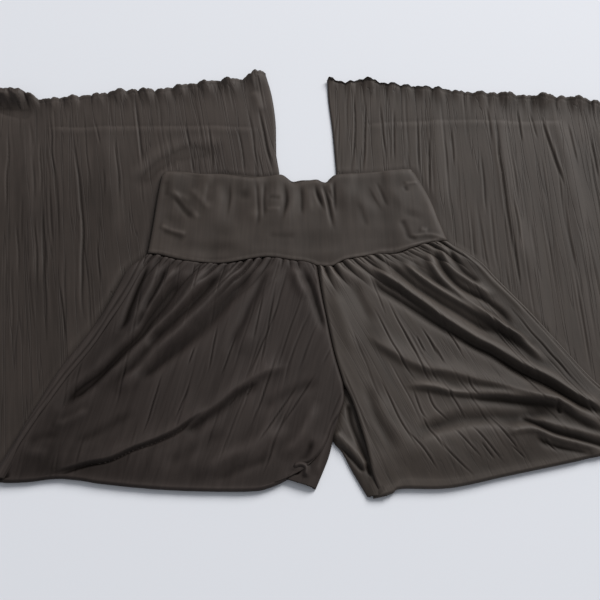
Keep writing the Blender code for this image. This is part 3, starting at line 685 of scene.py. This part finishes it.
def shell(name, outer, thickness, material, depth=1.0, painted_light=0.0):
    """A thin closed shell: the outer grid, an inner one with half as many cells behind it, and the rim.

    depth is how strongly shade is painted into its hollows and light onto its ridges, and the last argument
    is painted light: how much lighter the cloth is painted at each place.
    """
    normal = np.cross(np.gradient(outer, axis=0), np.gradient(outer, axis=1))
    normal /= np.maximum(np.linalg.norm(normal, axis=-1, keepdims=True), 1e-9)
    rows, columns = outer.shape[:2]
    # The inner side stays behind every dip of the outer one.
    wide = np.pad(outer, ((1, 1), (1, 1), (0, 0)), mode="edge")
    dip = np.max([np.sum((outer - wide[r:r + rows, c:c + columns]) * normal, axis=-1)
                  for r in range(3) for c in range(3)], axis=0)
    inner = (outer - normal * (thickness + dip[..., None]))[::2, ::2]
    inner_count = inner.shape[0] * inner.shape[1]
    ring = around(np.arange(rows * columns).reshape(rows, columns))
    inner_ring = around(rows * columns + np.arange(inner_count).reshape(inner.shape[:2]))
    start, middle, end = ring[::2], ring[1::2], np.roll(ring[::2], -1)
    inner_end = np.roll(inner_ring, -1)
    faces = grid_faces(rows, columns).tolist()
    faces += grid_faces(*inner.shape[:2], rows * columns, flipped=True).tolist()
    for corners in ([start, middle, inner_ring], [middle, end, inner_end], [middle, inner_end, inner_ring]):
        faces += np.stack(corners, axis=1).tolist()
    points = np.vstack([outer.reshape(-1, 3), inner.reshape(-1, 3)])
    hidden = np.zeros(inner_count)
    level = np.clip(normal[..., 2], 0, 1)
    # The hollow attribute is painted shade and light: positive in hollows, which the material darkens,
    # negative on ridges and where painted light is given, which it lightens
    attributes = {
        "hollow": np.concatenate([(depth * hollows(outer[..., 2]) * level**2 - painted_light).ravel(), hidden]),
        "flatness": np.concatenate([(level**3).ravel(), hidden]),
    }
    return make_object(name, points, faces, material, attributes)


def box_of(grid):
    """The lowest and the highest corner of a grid of points."""
    flat = grid.reshape(-1, 2)
    return flat.min(axis=0), flat.max(axis=0)


# ---- Legs

def hem_scallop(shares, seed):
    """The lettuce edge: small rounded bumps, from 0 to 1."""
    along = shares * HEM_LENGTH
    return 0.75 * bumps(along, 16, seed) + 0.25 * bumps(along, 8, seed + 1)


def hem_wave(x, waves, seed):
    """How far the hem lifts at each x."""
    height = 0.9 * bumps(x, 17, seed)
    for place, lifted in waves:
        height = np.maximum(height, lifted * falloff(x - place, 7.5 + 0.6 * lifted))
    return height


def rolled_hem(far, edge, roll, angles):
    """Rows that turn a hem over, upwards or, if roll is negative, downwards."""
    made = []
    for turn in np.radians(angles):
        ring = far + (0, abs(roll) * np.sin(turn))
        made.append(lift(ring, edge + roll * (1 - np.cos(turn)))[None])
    return made


def leg_slope(leg):
    """The lean of the pleats on a front leg: they fan out from the waist seam."""
    if leg.outward < 0:
        return lambda x, y: np.clip(0.16 + 0.0011 * (x + 120) - 0.0006 * (y + 120), 0.08, 0.5)
    return lambda x, y: -np.clip(0.26 + 0.0014 * (x - 80) - 0.0006 * (y + 120), 0.15, 0.62)


def leg_folds(leg, upper):
    """The relief of a front leg: its drapes, its pressed pleats and low waves along the grain."""
    slope = leg_slope(leg)
    folds = relief(warped(upper, 30, 2.0, leg.seed), leg.creases)
    fine = []
    for path in leg.pleats:
        fine += pleat(path, PLEAT_DEPTH, 1.0)
    fine += scattered_pleats(UPPER_STRAYS, box_of(upper), slope, (40, 150), (0.2, 0.8), (0.9, 1.2),
                             leg.seed + 5)
    folds += relief(warped(upper, 25, 0.8, leg.seed + 9), fine)
    x, y = upper[..., 0], upper[..., 1]
    folds += undulation(x - slope(x, y) * y, y, leg.seed + 30, ((32, 0.6), (14, 0.35), (7, 0.15)))
    return folds


def leg_gathers(leg, top, drop, along_seam):
    """Short puckers at the waist seam, and longer folds that run out from some of them."""
    turned = along_seam + drop * np.interp(top[:, 0], *np.transpose(leg.slant))
    pucker = bumps(turned, 12, leg.seed + 51)**0.6
    fold = bumps(turned, 16, leg.seed + 52)
    some = np.clip(0.6 + 0.9 * noise(turned / 24, drop / 60, leg.seed + 53), 0.1, 1.5)
    return (PUCKER_HEIGHT * (pucker - 0.85) * falloff(drop, PUCKER_REACH)
            + GATHER_HEIGHT * some * (fold - 0.72) * falloff(drop, GATHER_REACH + 22 * some)
            + noise(turned / 15, drop / 90, leg.seed + 54) * falloff(drop, 60))


def ground_cloth(leg, start, u):
    """The rows of a front leg that lie on the ground, from the fold to the rolled hem."""
    w = even(FLOOR_ROWS)
    far = curve(leg.hem, u)
    far[:, 1] += 1.5 * hem_scallop(u, leg.seed + 70) - 6.0
    floor = patch(start, far, curve(leg.lower_left, w), curve(leg.lower_right, w), u, w)
    x, y = floor[..., 0], floor[..., 1]
    ripple = np.abs(noise(x / 9 - leg.lean * y / 9, y / 120, leg.seed + 71))
    height = 0.45 * ripple * ease(w / 0.06)[:, None]
    # The hem rolls up over the ground and ends under the upper layer.
    tail = lift(far - (0, 3.0), height[-1] + 2 * FLOOR_HEM_ROLL)[None]
    return [lift(floor, height), *rolled_hem(far, height[-1], FLOOR_HEM_ROLL, (60, 120, 180)), tail]


def front_leg(leg, material):
    """A front leg: down from the waist seam, round the fold, and along the ground to the hem."""
    columns, rows = FRONT_LEG_GRID
    u = even(columns)
    v = even(rows)
    radius = FOLD_HEIGHT / 2
    start = curve(leg.fold, u) + (0, radius)
    top = curve(leg.seam, u) - (0, SEAM_GAP)
    inner_line = np.vstack([smooth(CENTRE_SEAM)[:-1], smooth(leg.inseam)])
    inner = spaced(inner_line, v)
    inner[:, 0] += SEAM_GAP * leg.outward
    outer = curve(leg.outseam, v)
    left, right = (outer, inner) if leg.outward < 0 else (inner, outer)
    upper = patch(top, start, left, right, u, v)
    drop = from_top(upper)
    along_seam = u[None] * np.linalg.norm(np.diff(top, axis=0), axis=1).sum()
    to_fold = away_from(upper, leg.fold)
    to_inner = distance(upper, np.vstack([smooth(CENTRE_SEAM), smooth(leg.inseam)]))
    to_outer = away_from(upper, leg.outseam)

    folds = leg_folds(leg, upper)
    gathers = leg_gathers(leg, top, drop, along_seam)
    lip = SEAM_LIP * falloff(drop, 9)
    strength = 0.4 + 0.6 * ease(to_fold / 30)
    strength *= 0.25 + 0.75 * ease(to_inner / 9)
    strength *= 0.3 + 0.7 * ease(to_outer / 9)
    height = crown(upper)
    height = FOLD_HEIGHT + (height - FOLD_HEIGHT) * ease((to_fold - radius) / FOLD_ROUNDING)
    height += folds * strength * ease(drop / 10) + (gathers + lip) * ease(to_inner / 5) - falloff(drop, 0.9)
    height -= INSEAM_SINK * falloff(to_inner, 2.0)
    height -= OUTSEAM_SINK * falloff(to_outer, 1.6) * ease(drop / 15)
    height = at_least(height, LEG_LEAST * ease((to_fold - 8) / 14))
    # At the fold the cloth comes down to the height of the turn, and to a little less at its ends.
    ends = ease(np.minimum(u, 1 - u) / 0.04)
    limit = 5.0 + (np.clip(height[-1], 6.5, 10.0) - 5.0) * ends
    near = ease(1 - (to_fold - radius) / 10)
    height = height * (1 - near) + np.minimum(height, limit[None] + 0.15 * (to_fold - radius)) * near
    height[-1] = limit

    made = [lift(upper, height)]
    edge_radius = height[-1] / 2
    for angle in np.linspace(0, np.pi, ARC_ROWS + 2)[1:-1]:
        ring = start - np.stack([np.zeros(columns), edge_radius * np.sin(angle)], axis=1)
        made.append(lift(ring, edge_radius * (1 + np.cos(angle)))[None])
    cloth = np.vstack(made + ground_cloth(leg, start, u))
    # Painted light across the leg from its table, and shade painted into its hollows 1.3 times as strongly
    # as usual
    painted_light = np.interp(cloth[..., 0], *np.transpose(leg.light))
    piece = shell("front_cloth_" + leg.name, cloth, LEG_CLOTH, material, 1.3, painted_light)
    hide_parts("front_leg_" + leg.name)
    return piece


def back_leg(leg, material):
    """The back of a leg below the fold, which lies on the front of it, up to the hem."""
    columns, rows = BACK_LEG_GRID
    u = even(columns)
    v = even(rows)**1.25
    far = curve(leg.hem, u)
    scallop = hem_scallop(u, leg.seed + 80)
    far[:, 1] += 4.0 * scallop - 2.0
    near = curve(leg.fold, u) + (0, 7.0)
    points = patch(far, near, curve(leg.lower_left, 1 - v), curve(leg.lower_right, 1 - v), u, v)
    to_hem = from_top(points)
    to_side = away_from(points, leg.lower_left, leg.lower_right)
    away = np.where(inside(points, UPPER_OUTLINE), 0, distance(points, UPPER_OUTLINE))
    across = points[..., 0] - leg.lean * points[..., 1]

    fine = []
    for i, (path, depth) in enumerate(leg.lower_pleats):
        fine += pleat(path, 1.15 * depth, 1.7 if depth > 1.4 else 1.2, 1 if i % 3 else -1)
    low, high = box_of(points)
    fine += scattered_pleats(LOWER_STRAYS, (low + (0, 160), high), lambda x, y: leg.lean, (50, 260),
                             (0.15, 0.9), (0.9, 1.7), leg.seed + 6)
    height = relief(warped(points, 45, 1.5, leg.seed + 2), fine)
    height += relief(warped(points, 40, 2.0, leg.seed + 3), leg.lower_creases)
    height += undulation(across, points[..., 1], leg.seed + 40, ((60, 1.0), (28, 0.5), (10, 0.1)))

    # Closer to the hem the pleats open into the waves of its edge.
    height += HEM_WAVE_RISE * hem_wave(far[:, 0], leg.waves, leg.seed + 41) * falloff(to_hem, 18)
    height += 0.6 * (bumps(across, 15, leg.seed + 42) - 0.6) * falloff(to_hem, 40)
    height += 1.8 * scallop[None] * falloff(to_hem, 7)
    height -= STITCH_DEPTH * falloff(to_hem - STITCH_LINE, 1.5)
    # Under the upper layer the relief is pressed flat.
    fade = ease(away / 12)
    height = np.clip(height * 0.12 * (1 - fade) + height * fade, -1.4, HEM_TOP)
    side = rounded(to_side / 3.2)
    top = LOWER_LEG_TOP + (LOWER_LEG_LOFT + height) * (0.25 + 0.75 * side) * (0.2 + 0.8 * fade)
    top = np.where(fade > 0, top, np.minimum(top, COVERED_TOP)) - 1.2 * (1 - side)

    tail = lift(far - (0, 3.5), top[0] - 2 * HEM_ROLL + 0.1)[None]
    turned = rolled_hem(far, top[0], -HEM_ROLL, (180, 140, 100, 60, 30))
    cloth = np.vstack([tail, *turned, lift(points, top)])
    # Painted light: the lower layer is painted lighter towards its hem, and shade is painted into its
    # hollows
    painted_light = leg.hem_light * ease((cloth[..., 1] - 60) / 200)
    piece = shell("back_cloth_" + leg.name, cloth, LOWER_CLOTH, material, 1.0, painted_light)
    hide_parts("back_leg_" + leg.name)
    return piece


def side_strip(leg, material):
    """The back panel where it rolls forward past the outseam."""
    columns, rows = STRIP_GRID
    v = even(rows)
    seam = curve(leg.outseam, v)
    edge = curve(leg.silhouette, v)
    toward = edge - seam
    toward /= np.maximum(np.linalg.norm(toward, axis=1, keepdims=True), 1e-6)
    start = seam - toward * 5.0
    grid = np.stack([start + (edge - start) * share for share in 1 - (1 - even(columns))**1.6], axis=1)
    from_seam = away_from(grid, leg.outseam)
    covered = np.sum((grid - seam[:, None]) * toward[:, None], axis=-1) < 0
    height = crown(grid)
    height -= np.where(covered, 2.2 * ease(from_seam / 3), 0) + 1.1 * falloff(from_seam, 1.4)
    height += 0.5 * noise(v[:, None] * 12, from_seam / 6, leg.seed + 90) * (1 - covered)
    fold = 2 * noise(v[:, None] * 7, 0.5, leg.seed + 91)
    height -= 0.9 * falloff(from_seam - 6 - fold, 1.5) * (1 - covered)
    layers = [lift(grid, height)]
    for inward, level in ((0.0, 3.0), (1.5, 2.9), (6.0, 2.9)):
        layers.append(lift(grid[:, -1] - toward * inward, level)[:, None])
    outer = np.concatenate(layers, axis=1)
    if leg.outward < 0:
        outer = outer[:, ::-1]
    return shell("back_panel_" + leg.name, outer, EDGE_CLOTH, material)


def crotch_flap(leg, material):
    """The back panel below the crotch, seen past the front leg's inseam."""
    columns, rows = FLAP_GRID
    near = curve(leg.flap_inner, even(rows))
    edge = curve(leg.flap_outer, even(rows))
    grid = np.stack([near + (edge - near) * share for share in 1 - (1 - even(columns))**1.5], axis=1)
    to_edge = away_from(grid, leg.flap_outer)
    height = 1.6 + (leg.flap_top - 1.6) * rounded(to_edge / 12)
    height += relief(grid, leg.flap_creases) * ease(to_edge / 4)
    height += 0.35 * noise(grid[..., 0] / 7, grid[..., 1] / 25, leg.flap_seed)
    layers = [lift(grid, height)]
    toward = (edge - near) / np.linalg.norm(edge - near, axis=1, keepdims=True)
    for inward, level in ((0.0, 1.0), (4.0, 0.9)):
        layers.append(lift(edge - toward * inward, level)[:, None])
    outer = np.concatenate(layers, axis=1)
    if leg.outward > 0:
        outer = outer[:, ::-1]
    return shell("crotch_flap_" + leg.name, outer, EDGE_CLOTH, material)


# ---- Waistband and hidden stack

def band_grid(columns, rows):
    u = even(columns)
    v = even(rows)
    top = curve(BAND_TOP_EDGE, u)
    bottom = spaced(np.vstack([smooth(WAIST_SEAM_LEFT)[:-1], smooth(WAIST_SEAM_RIGHT)]), u) + (0, SEAM_GAP)
    return patch(top, bottom, curve(BAND_LEFT_EDGE, v), curve(BAND_RIGHT_EDGE, v), u, v)


def band_sag(points):
    """How far both sides of the band sink where the top edge dips."""
    return 2.2 * falloff(points[..., 0] - 26, 34) * ease((points[..., 1] - 50) / 70)


def waistband_front(material):
    """The front of the band: smooth doubled jersey with soft dents, sewn to the gathered legs below."""
    points = band_grid(*BAND_FRONT_GRID)
    to_top = away_from(points, BAND_TOP_EDGE)
    to_side = away_from(points, BAND_LEFT_EDGE, BAND_RIGHT_EDGE)
    to_seam = distance(points, WAIST_SEAM)
    sag = band_sag(points)
    height = BAND_FULL - 3.6 * (1 - rounded(to_side / 9)) - 3.2 * (1 - rounded(to_top / 10)) - sag
    height += relief(warped(points, 30, 1.5, 91), BAND_CREASES) * ease(to_seam / 5)
    x, y = points[..., 0], points[..., 1]
    height += 1.4 * noise(x / 34, y / 70, 92) * ease(to_top / 8)
    height += 0.8 * noise(x / 15, y / 60, 93) * ease((y - 20) / 60)
    height += 0.5 * noise(x / 40, y / 20, 94)
    height = at_least(height, (BAND_LEAST - sag) * ease(np.minimum(to_top, to_side) / 12))
    # The seam allowance lies behind the lower edge, and the gathers pull that edge into small puckers.
    height += 0.4 * falloff(to_seam - 4, 2.6) - falloff(to_seam, 0.9)
    height += 0.25 * (bumps(x, 12, 95) - 0.5) * falloff(to_seam, 6)
    # Shade is painted into the band's hollows, 1.35 times as strongly as usual, and light onto its ridges
    piece = shell("band_cloth_front", lift(points, height), BAND_CLOTH, material, 1.35)
    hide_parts("waistband_front")
    return piece


def waistband_back(material):
    """The back of the band, under the front. Its top edge shows where the front dips."""
    points = band_grid(*BAND_BACK_GRID)
    x, y = points[..., 0], points[..., 1]
    y += (2.6 * falloff(x + 62, 22) + 3.0 * falloff(x - 12, 16)) * ease((y - 100) / 30)
    to_top = away_from(points, BAND_TOP_EDGE)
    to_side = away_from(points, BAND_LEFT_EDGE, BAND_RIGHT_EDGE)
    height = BAND_BACK_TOP + BAND_BACK_EDGE_RISE * ease(1 - (to_top - 4) / 10)
    height -= 3.4 * (1 - rounded(to_side / 11)) + 3.0 * (1 - rounded(to_top / 12))
    height += 0.3 * noise(x / 20, y / 60, 96) - band_sag(points)
    piece = shell("band_cloth_back", lift(points, height), BAND_BACK_CLOTH, material)
    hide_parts("waistband_back")
    return piece


def hidden_stack(material):
    """The rounded stack of the layers that the front hides, with the layers showing along its edge."""
    loop = spaced(np.vstack([UPPER_OUTLINE, UPPER_OUTLINE[:1]]), even(STACK_POINTS + 1)[:-1])
    loop = loop - facing(loop) * STACK_INSET
    loop = loop[distance(loop, UPPER_OUTLINE) > STACK_INSET - 0.3]
    near_crotch = np.flatnonzero(distance(loop, CROTCH_EDGE) < STACK_CROTCH_CLEARANCE)
    loop = np.vstack([loop[:near_crotch[0]], [STACK_CROTCH], loop[near_crotch[-1] + 1:]])
    outward = facing(loop)
    rings = [lift(loop + outward * out, height) for height, out in STACK_PROFILE]
    count = len(loop)
    faces = [list(range(count))[::-1], list(range((len(rings) - 1) * count, len(rings) * count))]
    for low in range(0, (len(rings) - 1) * count, count):
        for i in range(count):
            j = (i + 1) % count
            faces.append([low + i, low + j, low + count + j, low + count + i])
    points = np.vstack(rings)
    # Painted shade: the stack's cloth is darkened evenly through its hollow attribute, and its shine
    # weakened
    attributes = {"hollow": np.full(len(points), 0.3), "flatness": np.zeros(len(points))}
    piece = make_object("hidden_stack", points, faces, material, attributes)
    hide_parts("hidden_layers")


# ---- Materials

# Each cloth: its colour, its shine, the turn of its grain in radians, and how strong its pressed lines are.
# All are one jersey: their differing colours and shines are painted light and shade, darkest and least
# shiny on the left front
CLOTHS = [
    ("front_left", (0.032, 0.025, 0.0225), 0.10, 0.2, 0.3),
    ("front_right", (0.041, 0.032, 0.0265), 0.22, -0.42, 0.4),
    ("back_left", (0.038, 0.030, 0.026), 0.12, -0.185, 1.0),
    ("back_right", (0.042, 0.0325, 0.027), 0.18, 0.02, 1.0),
    ("band", (0.041, 0.032, 0.027), 0.17, 0.0, 0.0),
]
STREAKING = 0.2
CLOTH_ROUGHNESS = 0.6
LINE_SHADE = 0.22
HOLLOW_SHADE = 0.5
RIB_SCALE = 350


def cloth_material(name, colour, specular, grain_turn, grooves):
    """A dark knitted jersey: fine ribs along the grain, pressed lines over them, uneven colour, and painted
    shade and light from the hollow attribute, in its colour and its shine.
    """
    made = bpy.data.materials.new(name)
    made.use_nodes = True
    tree = made.node_tree
    tree.nodes.clear()
    add = tree.nodes.new
    link = tree.links.new

    def number(operation, a, b=None, c=None):
        node = add("ShaderNodeMath")
        node.operation = operation
        for socket, value in zip(node.inputs, (a, b, c)):
            if isinstance(value, bpy.types.NodeSocket):
                link(value, socket)
            elif value is not None:
                socket.default_value = value
        return node.outputs["Value"]

    def attribute(label):
        node = add("ShaderNodeAttribute")
        node.attribute_name = label
        return node.outputs["Fac"]

    def mottle(vector, stretch, scale, detail):
        along = add("ShaderNodeMapping")
        along.inputs["Scale"].default_value = (1.0, stretch, 1.0)
        link(vector, along.inputs["Vector"])
        texture = add("ShaderNodeTexNoise")
        texture.inputs["Scale"].default_value = scale
        texture.inputs["Detail"].default_value = detail
        link(along.outputs["Vector"], texture.inputs["Vector"])
        return texture.outputs["Fac"]

    def bump(height, strength, depth, under=None):
        node = add("ShaderNodeBump")
        link(number("MULTIPLY", flatness, strength), node.inputs["Strength"])
        node.inputs["Distance"].default_value = depth
        link(height, node.inputs["Height"])
        if under is not None:
            link(under, node.inputs["Normal"])
        return node.outputs["Normal"]

    output = add("ShaderNodeOutputMaterial")
    shader = add("ShaderNodeBsdfPrincipled")
    link(shader.outputs["BSDF"], output.inputs["Surface"])
    shader.inputs["Roughness"].default_value = CLOTH_ROUGHNESS
    hollow = attribute("hollow")
    flatness = attribute("flatness")
    # Painted shine: the reflection is weakened in the hollows and strengthened on ridges and where painted
    # light is given
    link(number("MULTIPLY_ADD", hollow, -0.6 * specular, specular), shader.inputs["Specular IOR Level"])
    place = add("ShaderNodeTexCoord")
    turn = add("ShaderNodeMapping")
    turn.inputs["Rotation"].default_value = (0, 0, grain_turn)
    link(place.outputs["Object"], turn.inputs["Vector"])
    grain = turn.outputs["Vector"]

    # Pressed lines: thin and long where a stretched noise passes its middle, with painted shade darkening
    # them
    lines = number("ABSOLUTE", number("SUBTRACT", mottle(grain, 0.035, 75, 2), 0.5))
    pressed = add("ShaderNodeMapRange")
    pressed.inputs["From Max"].default_value = 0.022
    link(lines, pressed.inputs["Value"])
    pressed = pressed.outputs["Result"]

    streaks = mottle(grain, 0.06, 260, 4)
    patches = mottle(grain, 0.6, 16, 3)
    blend = number("MULTIPLY_ADD", streaks, 0.5, number("MULTIPLY", patches, 0.5))
    ramp = add("ShaderNodeValToRGB")
    for stop, position, change in zip(ramp.color_ramp.elements, (0.32, 0.68), (-STREAKING, STREAKING)):
        stop.position = position
        stop.color = (*[c * (1 + change) for c in colour], 1.0)
    link(blend, ramp.inputs["Fac"])
    darker = add("ShaderNodeMix")
    darker.data_type = "RGBA"
    darker.blend_type = "MULTIPLY"
    darker.inputs["Factor"].default_value = 1.0
    link(ramp.outputs["Color"], darker.inputs["A"])
    # The pressed lines are darkened with painted shade
    shade = number("MULTIPLY_ADD", pressed, LINE_SHADE * grooves, 1 - LINE_SHADE * grooves)
    # Painted shade and light: the colour is darkened in the hollows between the folds, where little light
    # reaches, and lightened on ridges and where painted light is given.
    shade = number("MULTIPLY", shade, number("MULTIPLY_ADD", hollow, -HOLLOW_SHADE, 1.0))
    link(shade, darker.inputs["B"])
    link(darker.outputs["Result"], shader.inputs["Base Color"])

    # Knit ribs, about 0.9 mm apart, broken up by noise
    ribs = add("ShaderNodeTexWave")
    ribs.inputs["Scale"].default_value = RIB_SCALE
    ribs.inputs["Distortion"].default_value = 1.5
    ribs.inputs["Detail"].default_value = 2
    link(grain, ribs.inputs["Vector"])
    normal = bump(ribs.outputs["Fac"], 0.14, 0.0002)
    normal = bump(streaks, 0.12 * grooves + 0.05, 0.0012, normal)
    if grooves:
        normal = bump(pressed, 0.4 * grooves, 0.0008, normal)
    link(normal, shader.inputs["Normal"])
    return made


cloths = {row[0]: cloth_material("jersey_" + row[0], *row[1:]) for row in CLOTHS}

# ---- The garment

LEGS = (LEFT, RIGHT)
fronts = [front_leg(leg, cloths["front_" + leg.name]) for leg in LEGS]
backs = [back_leg(leg, cloths["back_" + leg.name]) for leg in LEGS]
bands = [waistband_front(cloths["band"]), waistband_back(cloths["band"])]
strips = [side_strip(leg, cloths["front_" + leg.name]) for leg in LEGS]
flaps = [crotch_flap(leg, cloths["front_" + leg.name]) for leg in LEGS]
hidden_stack(cloths["front_left"])

# ---- Floor, light and camera, in metres and degrees

FLOOR_HALF = 6.0
FLOOR_DROP = 0.0002
FLOOR_COLOUR = (0.81, 0.83, 0.885, 1.0)
SKY_COLOUR = (0.93, 0.96, 1.0, 1.0)
SKY_STRENGTH = 0.32
WINDOW_PLACE = (5.98, 7.65, 7.05)
WINDOW_TURN = (-54, 0, -38)
WINDOW_SIZE = 7.2
WINDOW_ENERGY = 1560
WINDOW_COLOUR = (1.0, 0.985, 0.96)
CAMERA_PLACE = (0.0175, -0.6127, 0.9353)
CAMERA_TURN = (30, 0, 0)
CAMERA_LENS = 48


def put(name, data, place=(0, 0, 0), turn=(0, 0, 0)):
    made = bpy.data.objects.new(name, data)
    made.location = place
    made.rotation_euler = np.radians(turn)
    bpy.context.scene.collection.objects.link(made)
    return made


corners = [(x * FLOOR_HALF, y * FLOOR_HALF, -FLOOR_DROP) for x, y in ((-1, -1), (1, -1), (1, 1), (-1, 1))]
floor_mesh = bpy.data.meshes.new("floor")
floor_mesh.from_pydata(corners, [], [(0, 1, 2, 3)])
floor_material = bpy.data.materials.new("pale_floor")
floor_material.use_nodes = True
floor_shader = floor_material.node_tree.nodes["Principled BSDF"]
floor_shader.inputs["Base Color"].default_value = FLOOR_COLOUR
floor_shader.inputs["Roughness"].default_value = 0.9
floor_shader.inputs["Specular IOR Level"].default_value = 0.1
floor_mesh.materials.append(floor_material)
put("floor", floor_mesh)

world = bpy.data.worlds.new("studio")
world.use_nodes = True
world.node_tree.nodes["Background"].inputs["Color"].default_value = SKY_COLOUR
world.node_tree.nodes["Background"].inputs["Strength"].default_value = SKY_STRENGTH
bpy.context.scene.world = world

window = bpy.data.lights.new("window", "AREA")
window.shape = "DISK"
window.size = WINDOW_SIZE
window.energy = WINDOW_ENERGY
window.color = WINDOW_COLOUR
put("window", window, WINDOW_PLACE, WINDOW_TURN)

camera_data = bpy.data.cameras.new("camera")
camera_data.lens = CAMERA_LENS
camera_data.sensor_width = 36
bpy.context.scene.camera = put("camera", camera_data, CAMERA_PLACE, CAMERA_TURN)
bpy.context.scene.view_settings.view_transform = "Standard"
